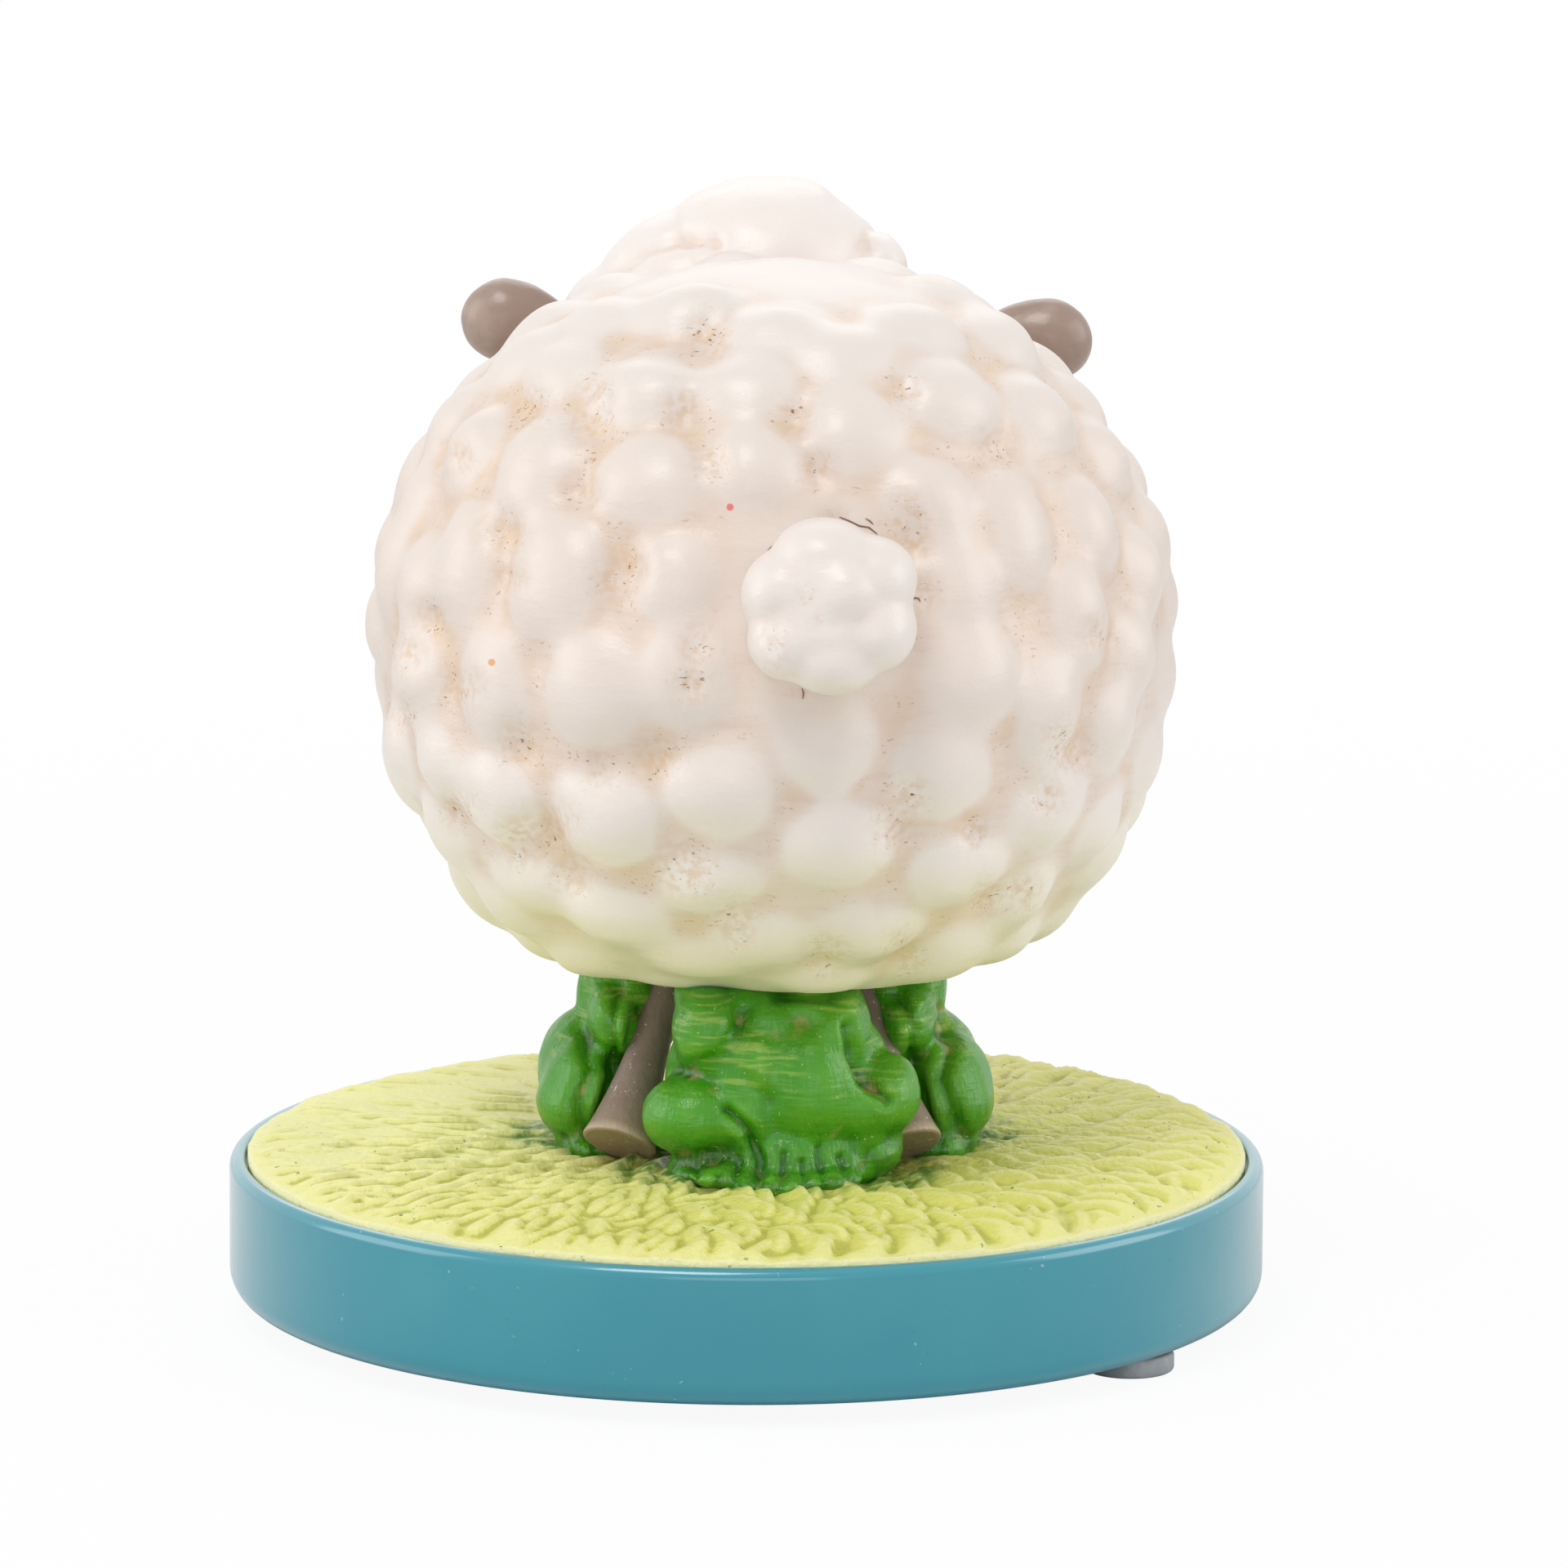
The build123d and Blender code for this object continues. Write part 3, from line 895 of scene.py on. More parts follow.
def patches(
    tree: NodeTree,
    size: float,
    low: float,
    high: float,
    stretch: Numbers = (1.0, 1.0, 1.0),
    shift: float = 0.0,
    detail: float = 3.0,
) -> Mask:
    """Soft patches of noise.

    Args:
        tree: the material's tree.
        size: size of a patch in millimetres.
        low: noise level where a patch starts.
        high: noise level where it is full.
        stretch: how many times longer a patch is along each axis.
        shift: moves the pattern, so that two of them don't match.
        detail: how broken its edges are.

    Returns:
        A mask from 0 to 1.
    """
    place = add_node(tree, "ShaderNodeTexCoord")
    scale = [1 / (size * MM * times) for times in stretch]
    mapped = add_node(
        tree, "ShaderNodeMapping",
        {"Vector": place.outputs["Object"], "Location": (shift,) * 3, "Scale": scale},
    )
    noise = add_node(tree, "ShaderNodeTexNoise", {"Vector": mapped, "Scale": 1.0, "Detail": detail})
    ranged = add_node(
        tree, "ShaderNodeMapRange", {"Value": noise, "From Min": low, "From Max": high},
        interpolation_type="SMOOTHSTEP",
    )
    return ranged.outputs[0]


def pit_wash_and_shading(tree: NodeTree, low: float, high: float) -> Mask:
    """Mask from the stored pits: thin wash and edge wear in some finishes, painted shade in hollows and
    painted highlights on crests in others.

    Args:
        tree: the material's tree.
        low: pit depth where it starts.
        high: pit depth where it is full; less than low gives the crests.

    Returns:
        A mask from 0 to 1.
    """
    pit = add_node(tree, "ShaderNodeAttribute", attribute_name=PIT)
    ranged = add_node(
        tree, "ShaderNodeMapRange", {"Value": pit.outputs["Fac"], "From Min": low, "From Max": high},
        interpolation_type="SMOOTHSTEP",
    )
    return ranged.outputs[0]


def spot(tree: NodeTree, centre: Vector, near: float, far: float) -> Mask:
    """A round spot.

    Args:
        tree: the material's tree.
        centre: its middle in millimetres.
        near: it is full within this distance.
        far: it is gone beyond this distance.

    Returns:
        A mask from 0 to 1.
    """
    place = add_node(tree, "ShaderNodeTexCoord")
    away = add_node(tree, VECTORS, {0: place.outputs["Object"], 1: centre * MM}, operation="DISTANCE")
    ranged = add_node(
        tree, "ShaderNodeMapRange",
        {"Value": away.outputs["Value"], "From Min": far * MM, "From Max": near * MM},
        interpolation_type="SMOOTHSTEP",
    )
    return ranged.outputs[0]


def fleck(tree: NodeTree, place: Vector, way: Vector, radius: float) -> Mask:
    """A dot on whatever surface a line meets near a place.

    Args:
        tree: the material's tree.
        place: point on the line, in millimetres.
        way: the line's direction.
        radius: the dot's radius in millimetres.

    Returns:
        A mask from 0 to 1.
    """
    here = add_node(tree, "ShaderNodeTexCoord")
    away = add_node(tree, VECTORS, {0: here.outputs["Object"], 1: place * MM}, operation="SUBTRACT")
    beside = add_node(tree, VECTORS, {0: away, 1: way}, operation="CROSS_PRODUCT")
    length = add_node(tree, VECTORS, {0: beside}, operation="LENGTH")
    ranged = add_node(
        tree, "ShaderNodeMapRange",
        {"Value": length.outputs["Value"], "From Min": radius * MM, "From Max": 0.75 * radius * MM},
    )
    near = spot(tree, place, 5.0, 6.0)
    both = add_node(tree, MATHS, {0: ranged, 1: near}, operation="MULTIPLY")
    return both.outputs[0]


def height_band(tree: NodeTree, low: float, high: float) -> Mask:
    """A mask that grows from one height to another.

    Args:
        tree: the material's tree.
        low: height in millimetres where it is 0.
        high: height where it is 1, which may be the lower one.

    Returns:
        A mask from 0 to 1.
    """
    place = add_node(tree, "ShaderNodeTexCoord")
    parts = add_node(tree, "ShaderNodeSeparateXYZ", {0: place.outputs["Object"]})
    ranged = add_node(
        tree, "ShaderNodeMapRange",
        {"Value": parts.outputs["Z"], "From Min": low * MM, "From Max": high * MM},
        interpolation_type="SMOOTHSTEP",
    )
    return ranged.outputs[0]


def outer_ring(tree: NodeTree, near: float, far: float) -> Mask:
    """A mask that grows away from the upright axis.

    Args:
        tree: the material's tree.
        near: distance in millimetres where it is 0.
        far: distance where it is 1.

    Returns:
        A mask from 0 to 1.
    """
    place = add_node(tree, "ShaderNodeTexCoord")
    level = add_node(tree, VECTORS, {0: place.outputs["Object"], 1: (1.0, 1.0, 0.0)}, operation="MULTIPLY")
    out = add_node(tree, VECTORS, {0: level}, operation="LENGTH")
    ranged = add_node(
        tree, "ShaderNodeMapRange",
        {"Value": out.outputs["Value"], "From Min": near * MM, "From Max": far * MM},
    )
    return ranged.outputs[0]


def laid_over(tree: NodeTree, base: str, layers: Iterable[tuple[str, float, Sequence[Mask]]]) -> NodeSocket:
    """Lays coats of colour over a base colour.

    Args:
        tree: the material's tree.
        base: hex colour of the base.
        layers: hex colour, strength and masks of each coat; its masks are multiplied.

    Returns:
        The colour.
    """
    under: Any = linear(base)
    for colour, strength, masks in layers:
        cover: Any = strength
        for mask in masks:
            cover = add_node(tree, MATHS, {0: cover, 1: mask}, operation="MULTIPLY").outputs[0]
        coat = add_node(tree, "ShaderNodeMix", {0: cover, 6: under, 7: linear(colour)}, data_type="RGBA")
        under = coat.outputs[2]
    return under


@dataclass(frozen=True)
class Finish:
    """A finish with its shader values; each kind lays its own colour and relief."""

    name: str
    roughness: float
    ior: float = 1.5
    coat: float = 0.0
    metallic: float = 0.0
    coat_roughness: float = 0.12

    def colour(self, tree: NodeTree) -> NodeSocket:
        """Returns the colour socket."""
        raise NotImplementedError

    def relief(self, tree: NodeTree) -> list[tuple[Mask, float]]:
        """Returns height masks, each with its depth in millimetres."""
        return []

    def make(self) -> Material:
        """Returns the material."""
        material = bpy.data.materials.new(self.name)
        material.use_nodes = True
        tree = material.node_tree
        tree.nodes.clear()
        values: dict[Any, Any] = {
            "Base Color": self.colour(tree), "Roughness": self.roughness, "Metallic": self.metallic,
            "Coat Weight": self.coat, "Coat Roughness": self.coat_roughness,
        }
        if not self.metallic:
            values["IOR"] = self.ior
        under = None
        for height, depth in self.relief(tree):
            inputs = {"Height": height, "Distance": depth * MM, "Strength": 1.0}
            if under is not None:
                inputs["Normal"] = under
            under = add_node(tree, "ShaderNodeBump", inputs).outputs[0]
        if under is not None:
            values["Normal"] = under
        surface = add_node(tree, "ShaderNodeBsdfPrincipled", values)
        add_node(tree, "ShaderNodeOutputMaterial", {"Surface": surface})
        return material


@dataclass(frozen=True)
class PlinthEnamel(Finish):
    """Sprayed gloss enamel: even teal, a slight orange peel, and a few specks of lint."""

    name: str = "sprayed_teal_enamel"
    roughness: float = 0.3
    coat: float = 1.0

    def colour(self, tree: NodeTree) -> NodeSocket:
        """Teal, cloudy by a hair, with pale and dark lint."""
        cloud = patches(tree, 26, 0.35, 0.7)
        lint = patches(tree, 0.7, 0.745, 0.78, shift=9.0, detail=1.0)
        rare = patches(tree, 9, 0.52, 0.6, shift=3.0)
        dark = patches(tree, 0.6, 0.75, 0.79, shift=31.0, detail=1.0)
        return laid_over(
            tree, "#0C8A9C",
            [("#2A93A2", 0.6, [cloud]), ("#9CC6CC", 0.6, [lint, rare]), ("#1F5F6C", 0.5, [dark, rare])],
        )

    def relief(self, tree: NodeTree) -> list[tuple[Mask, float]]:
        """Orange peel of a sprayed film."""
        return [(patches(tree, 2.4, 0.2, 0.8, detail=1.0), 0.012)]


@dataclass(frozen=True)
class PadRubber(Finish):
    """Moulded grey rubber, dull, with a fine grain."""

    name: str = "moulded_grey_rubber"
    roughness: float = 0.6

    def colour(self, tree: NodeTree) -> NodeSocket:
        """Grey with paler scuffs."""
        return laid_over(tree, "#9EA0A3", [("#B4B5B8", 0.7, [patches(tree, 1.6, 0.45, 0.7)])])

    def relief(self, tree: NodeTree) -> list[tuple[Mask, float]]:
        """Grain, drawn at 0.5 mm so that it shows."""
        return [(patches(tree, 0.5, 0.2, 0.8), 0.02)]


@dataclass(frozen=True)
class GrassPaint(Finish):
    """Matte acrylic over palette strokes: yellow green, olive in the hollows, green specks, with painted
    light and shade.
    """

    name: str = "matte_grass_acrylic"
    roughness: float = 0.45
    bush_feet: tuple[Triple, ...] = ()
    foot_level: float = 17.6
    foot_fade: float = 3.2

    def colour(self, tree: NodeTree) -> NodeSocket:
        """Yellow green, with a painted highlight on the crests and the lip, olive in the hollows that is
        partly wash and partly painted shade, painted light on the left, painted shade on the right, and dark
        green round the bushes that is partly painted shade.
        """
        # Olive in the hollows: partly wash and partly painted shade.
        hollow = pit_wash_and_shading(tree, 0.08, 0.8)
        # Paler crests: a painted highlight.
        crest_highlight = pit_wash_and_shading(tree, 0.0, -0.7)
        wide = patches(tree, 17, 0.42, 0.66, shift=4.0)
        speck = patches(tree, 0.9, 0.69, 0.73, shift=12.0, detail=2.0)
        few = patches(tree, 8, 0.45, 0.58, shift=7.0)
        ragged = patches(tree, 1.8, 0.35, 0.62, shift=2.0)
        # Painted highlight: a pale cream line along the outer lip.
        lip = outer_ring(tree, 50.05, 50.4)
        coats = [
            # Painted light: paler round X 36 on the sheep's left. Painted shade: olive round X -22, Y 34, on
            # its right towards the rear.
            ("#D3D268", 0.5, [wide]), ("#F2F0B6", 0.45, [spot(tree, Vector((36, -6, 17)), 16, 62)]),
            ("#C6C95C", 0.35, [spot(tree, Vector((-22, 34, 17)), 14, 48)]), ("#ABAE42", 0.6, [hollow]),
            ("#F0EDA8", 0.55, [crest_highlight]), ("#F6F3C4", 0.6, [lip]), ("#2F7A45", 0.85, [speck, few]),
        ]
        # Dark green round the foot of each bush: partly paint and partly painted shade under the bushes.
        for x, y, reach in self.bush_feet:
            foot = spot(tree, Vector((x, y, self.foot_level)), reach, reach + self.foot_fade)
            coats.append(("#3F7A22", 0.9, [foot, ragged]))
        return laid_over(tree, "#E6E47E", coats)

    def relief(self, tree: NodeTree) -> list[tuple[Mask, float]]:
        """Fine marks of a stiff brush."""
        return [(patches(tree, 0.7, 0.25, 0.75, detail=2.0), 0.08)]


@dataclass(frozen=True)
class LeafPaint(Finish):
    """Gloss enamel over modelled leaf: deep green in creases as painted shade, lighter crests as a painted
    highlight, dry yellow strokes on rolls.
    """

    name: str = "gloss_leaf_enamel"
    roughness: float = 0.3

    def colour(self, tree: NodeTree) -> NodeSocket:
        """Bright green, with painted shade in the creases and low down and a painted highlight on the crests,
        brushed with yellow green and tan.
        """
        # Deep green in the creases: painted shade.
        crease_shade = pit_wash_and_shading(tree, 0.1, 1.3)
        # Lighter green on the crests: a painted highlight.
        crest_highlight = pit_wash_and_shading(tree, 0.0, -1.2)
        round_strokes = patches(tree, 0.42, 0.48, 0.66, stretch=(9, 9, 1), shift=5.0)
        down_strokes = patches(tree, 0.42, 0.5, 0.68, stretch=(1, 1, 9), shift=15.0)
        high, low = height_band(tree, 25.0, 28.0), height_band(tree, 24.5, 21.5)
        brushed = patches(tree, 6, 0.42, 0.6, shift=8.0)
        tan_place = patches(tree, 3.6, 0.57, 0.68, shift=17.0, detail=6.0)
        light = patches(tree, 7, 0.4, 0.65, shift=1.0)
        dot = patches(tree, 0.45, 0.72, 0.76, shift=23.0, detail=1.0)
        # Patchy dark green below 22 mm: partly painted shade at the foot of the bush.
        dark_low_patches = patches(tree, 1.6, 0.35, 0.6, shift=29.0)
        return laid_over(
            tree, "#3D950A",
            [
                ("#56A41A", 0.6, [light]), ("#1F6206", 0.85, [crease_shade]), ("#74B53A", 0.45, [crest_highlight]),
                ("#A9C65A", 0.55, [round_strokes, brushed, high]),
                ("#A0BF50", 0.5, [down_strokes, brushed, low]), ("#2C7A12", 0.6, [down_strokes, low]),
                ("#A99C5C", 0.65, [tan_place, pit_wash_and_shading(tree, -0.3, 0.4)]),
                ("#245C0C", 0.6, [dark_low_patches, height_band(tree, 22.0, 18.0)]), ("#C9D58A", 0.5, [dot]),
            ],
        )

    def relief(self, tree: NodeTree) -> list[tuple[Mask, float]]:
        """Brush lines that run down the leaf."""
        return [
            (patches(tree, 0.5, 0.25, 0.75, stretch=(6, 6, 1), detail=2.0), 0.035),
            (patches(tree, 0.5, 0.25, 0.75, stretch=(1, 1, 6), detail=2.0), 0.05),
        ]


@dataclass(frozen=True)
class LegPaint(Finish):
    """Satin acrylic, mauve brown, worn to tan on its edges with tiny pale specks."""

    name: str = "satin_leg_acrylic"
    roughness: float = 0.42

    def colour(self, tree: NodeTree) -> NodeSocket:
        """Mauve brown with tan towards the hoof."""
        cloud = patches(tree, 3.5, 0.4, 0.65)
        low = height_band(tree, 26.0, 20.0)
        speck = patches(tree, 0.5, 0.7, 0.74, shift=6.0, detail=1.0)
        return laid_over(
            tree, "#8B7772",
            [
                ("#A08C84", 0.6, [cloud]), ("#A18C72", 0.6, [low]),
                ("#CDB9A0", 0.7, [pit_wash_and_shading(tree, -0.3, -1.2)]), ("#D9CFC6", 0.8, [speck]),
            ],
        )

    def relief(self, tree: NodeTree) -> list[tuple[Mask, float]]:
        """Brush marks along the shank."""
        return [(patches(tree, 0.6, 0.25, 0.75, stretch=(1, 1, 4)), 0.04)]


@dataclass(frozen=True)
class FacePaint(Finish):
    """Satin acrylic of the bare skin: warm grey brown, a little rosier in places."""

    name: str = "satin_skin_acrylic"
    roughness: float = 0.3

    def colour(self, tree: NodeTree) -> NodeSocket:
        """Warm grey brown with darker creases."""
        cloud = patches(tree, 5, 0.4, 0.68)
        fine = patches(tree, 0.7, 0.5, 0.72, shift=3.0)
        return laid_over(
            tree, "#9E8679",
            [
                ("#B49E92", 0.6, [cloud]), ("#97827A", 0.35, [fine]),
                ("#7F6A63", 0.6, [pit_wash_and_shading(tree, 0.3, 1.8)]),
            ],
        )

    def relief(self, tree: NodeTree) -> list[tuple[Mask, float]]:
        """Faint unevenness of brushed paint."""
        return [(patches(tree, 1.0, 0.2, 0.8, detail=2.0), 0.02)]


@dataclass(frozen=True)
class FleecePaint(Finish):
    """Satin white acrylic; a thin tan wash lies in the pits, with dark fibres caught in it."""

    name: str = "washed_fleece_acrylic"
    roughness: float = 0.37
    base: str = "#EAE1DA"
    # Strength of the tan wash, and also of the painted shade and painted light bands
    wash: float = 1.0
    # Yellow green low on the fleece: partly overspray and partly painted bounce light from the grass
    overspray_and_grass_bounce: float = 0.0
    foot: Pair | None = None
    # Dots of other paint: pixel place, a point on the ball there, radius and colour
    specks: tuple[tuple[float, float, Vector, float, str], ...] = ()

    def colour(self, tree: NodeTree) -> NodeSocket:
        """White on the tufts, rosy between them, tan and brown where the wash settled, with painted shade at
        middle heights, painted light lower down, and partly painted bounce light from the grass near the
        bottom.
        """
        low_ground = pit_wash_and_shading(tree, -0.25, 0.7)
        pits = pit_wash_and_shading(tree, 0.05, 0.75)
        stained = patches(tree, 6.5, 0.47, 0.6, shift=11.0, detail=4.0)
        broken = patches(tree, 0.85, 0.4, 0.64, shift=5.0, detail=6.0)
        fibres = patches(tree, 0.34, 0.61, 0.65, stretch=(2, 1, 1), shift=21.0, detail=5.0)
        knots = patches(tree, 2.6, 0.48, 0.57, shift=14.0, detail=3.0)
        brush = patches(tree, 0.8, 0.45, 0.8, stretch=(5, 5, 1), shift=2.0, detail=4.0)
        mark = add_node(tree, "ShaderNodeAttribute", attribute_name=STAIN).outputs["Fac"]
        coats = [
            # Painted shade: a darker coat between 50 and 104 mm high, strongest from 76 to 86 mm. Painted
            # light: a paler coat below 66 mm.
            ("#E6D6CA", 0.55 * self.wash, [height_band(tree, 104.0, 86.0), height_band(tree, 50.0, 76.0)]),
            ("#F8EFE6", 0.6 * self.wash, [height_band(tree, 66.0, 50.0)]),
            ("#E2CDBD", 0.6 * self.wash, [low_ground]), ("#D3BBAC", 0.4 * self.wash, [brush, low_ground]),
            ("#E0C4A2", 0.45 * self.wash, [pits, stained]), ("#D8B58C", 0.55 * self.wash, [mark, broken]),
            ("#98683C", 0.5 * self.wash, [pits, knots, fibres]),
            ("#7E4F22", 0.95 * self.wash, [mark, knots, fibres]),
        ]
        # Yellow green below 56 mm: partly overspray and partly painted bounce light from the grass.
        if self.overspray_and_grass_bounce:
            coats.append(("#DDDC8C", self.overspray_and_grass_bounce, [height_band(tree, 56.0, 37.0)]))
        if self.foot:
            coats.append(("#DFD6B0", 0.45, [height_band(tree, *self.foot), patches(tree, 3.0, 0.35, 0.6)]))
        for across, down, place, radius, colour in self.specks:
            coats.append((colour, 0.95, [fleck(tree, place, PHOTO.ray(across, down), radius)]))
        return laid_over(tree, self.base, coats)

    def relief(self, tree: NodeTree) -> list[tuple[Mask, float]]:
        """Brush marks and the pitted grain of the casting."""
        return [
            (patches(tree, 1.1, 0.2, 0.8, stretch=(2.5, 2.5, 1), shift=2.0), 0.035),
            (patches(tree, 0.4, 0.3, 0.75, shift=8.0), 0.012),
        ]


@dataclass(frozen=True)
class BeadEnamel(Finish):
    """Gloss enamel of the small painted features."""

    name: str = "gloss_bead_enamel"
    roughness: float = 0.1
    tone: str = "#15110F"
    bloom: str = "#2A2320"

    def colour(self, tree: NodeTree) -> NodeSocket:
        """One tone with a faint bloom."""
        return laid_over(tree, self.tone, [(self.bloom, 0.6, [patches(tree, 1.2, 0.4, 0.7)])])


@dataclass(frozen=True)
class ScrewSteel(Finish):
    """Zinc plated steel with fine turning marks."""

    name: str = "zinc_plated_steel"
    roughness: float = 0.34
    metallic: float = 1.0

    def colour(self, tree: NodeTree) -> NodeSocket:
        """Pale grey with duller patches."""
        return laid_over(tree, "#B9BBBE", [("#8F9195", 0.6, [patches(tree, 1.1, 0.45, 0.7)])])

    def relief(self, tree: NodeTree) -> list[tuple[Mask, float]]:
        """Turning marks, drawn at 0.3 mm so that they show."""
        return [(patches(tree, 0.3, 0.2, 0.8, stretch=(6, 6, 1)), 0.01)]


# Sub-assemblies

class Side(Enum):
    """The sheep's own sides; the value is the sign of X."""

    LEFT = 1
    RIGHT = -1


class End(Enum):
    """The sheep's ends; the value is the sign of Y."""

    REAR = 1
    FRONT = -1


@dataclass
class Base:
    """Plinth with its pads and screws."""

    radius: float = 52.45
    pad_height: float = 2.0
    top: float = 15.9
    bottom_round: float = 2.6
    top_round: float = 1.1
    recess_radius: float = 50.85
    recess_floor: float = 14.3
    rim_round: float = 0.4
    sides: int = 256
    # Rings of the flats, as shares of the radius
    under_shares: tuple[float, ...] = (0.3, 0.6, 0.85)
    middle_share: float = 0.5
    sharp_angle: float = 40.0
    pad_radius: float = 4.5
    pad_round: float = 0.45
    pad_sides: int = 64
    pad_circle: float = 46.5
    pad_angles: dict[str, float] = field(
        default_factory=lambda: {"front_left": 352.0, "rear_right": 145.0, "front_right": 245.0}
    )
    screw_places: tuple[Pair, ...] = ((14.0, -2.0), (-17.0, -2.0))
    head_bore: float = 3.1
    bore_depth: float = 4.5
    bore_sides: int = 48
    overrun: float = 2.0

    def build(self) -> None:
        """Builds and dresses the plinth, the pads and the screws."""
        self.build_plinth()
        rubber = PadRubber().make()
        for name, angle in self.pad_angles.items():
            self.build_pad(name, angle, rubber)
        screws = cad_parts["base_screws"]
        screws.data.materials.clear()
        screws.data.materials.append(ScrewSteel().make())

    def build_plinth(self) -> None:
        """Turned disc with round edges, a recess, and two counterbores below."""
        low, rim = self.pad_height, self.recess_radius + self.rim_round
        outline = [(self.radius * share, low) for share in self.under_shares]
        outline += arc(self.radius - self.bottom_round, low + self.bottom_round, self.bottom_round, -90, 0)
        outline += arc(self.radius - self.top_round, self.top - self.top_round, self.top_round, 0, 90)
        outline += arc(rim, self.top - self.rim_round, self.rim_round, 90, 180, 4)
        outline += [
            (self.recess_radius, self.recess_floor), (self.radius * self.middle_share, self.recess_floor),
        ]
        plinth = turned("plinth_enamelled", outline, self.sides)
        bore = [(self.head_bore, 0), (self.head_bore, self.bore_depth + self.overrun)]
        for number, (x, y) in enumerate(self.screw_places):
            place = Matrix.Translation((x, y, low - self.overrun))
            cutter = turned("cutter", bore, self.bore_sides, place)
            cut = plinth.modifiers.new(f"bore_{number}", "BOOLEAN")
            cut.operation, cut.object, cut.solver = "DIFFERENCE", cutter, "EXACT"
            settle(plinth)
            discard(cutter)
        plinth.data.materials.clear()
        plinth.data.set_sharp_from_angle(angle=math.radians(self.sharp_angle))
        hand_over(plinth, "plinth_paint", "plinth", paint=PlinthEnamel().make())

    def build_pad(self, name: str, angle: float, rubber: Material) -> None:
        """Rubber disc with round edges, stuck below the plinth.

        Args:
            name: which pad it is.
            angle: its place round the plinth in degrees.
            rubber: its material.
        """
        turn = math.radians(angle)
        place = Matrix.Translation((self.pad_circle * math.cos(turn), self.pad_circle * math.sin(turn), 0))
        soft, middle = self.pad_round, self.pad_radius * self.middle_share
        outline = [(middle, 0.0)]
        outline += arc(self.pad_radius - soft, soft, soft, -90, 0, 5)
        outline += arc(self.pad_radius - soft, self.pad_height - soft, soft, 0, 90, 5)
        outline += [(middle, self.pad_height)]
        pad = turned(f"rubber_pad_{name}", outline, self.pad_sides, place)
        hand_over(pad, "pad_rubber", f"foot_pad_{name}", paint=rubber)


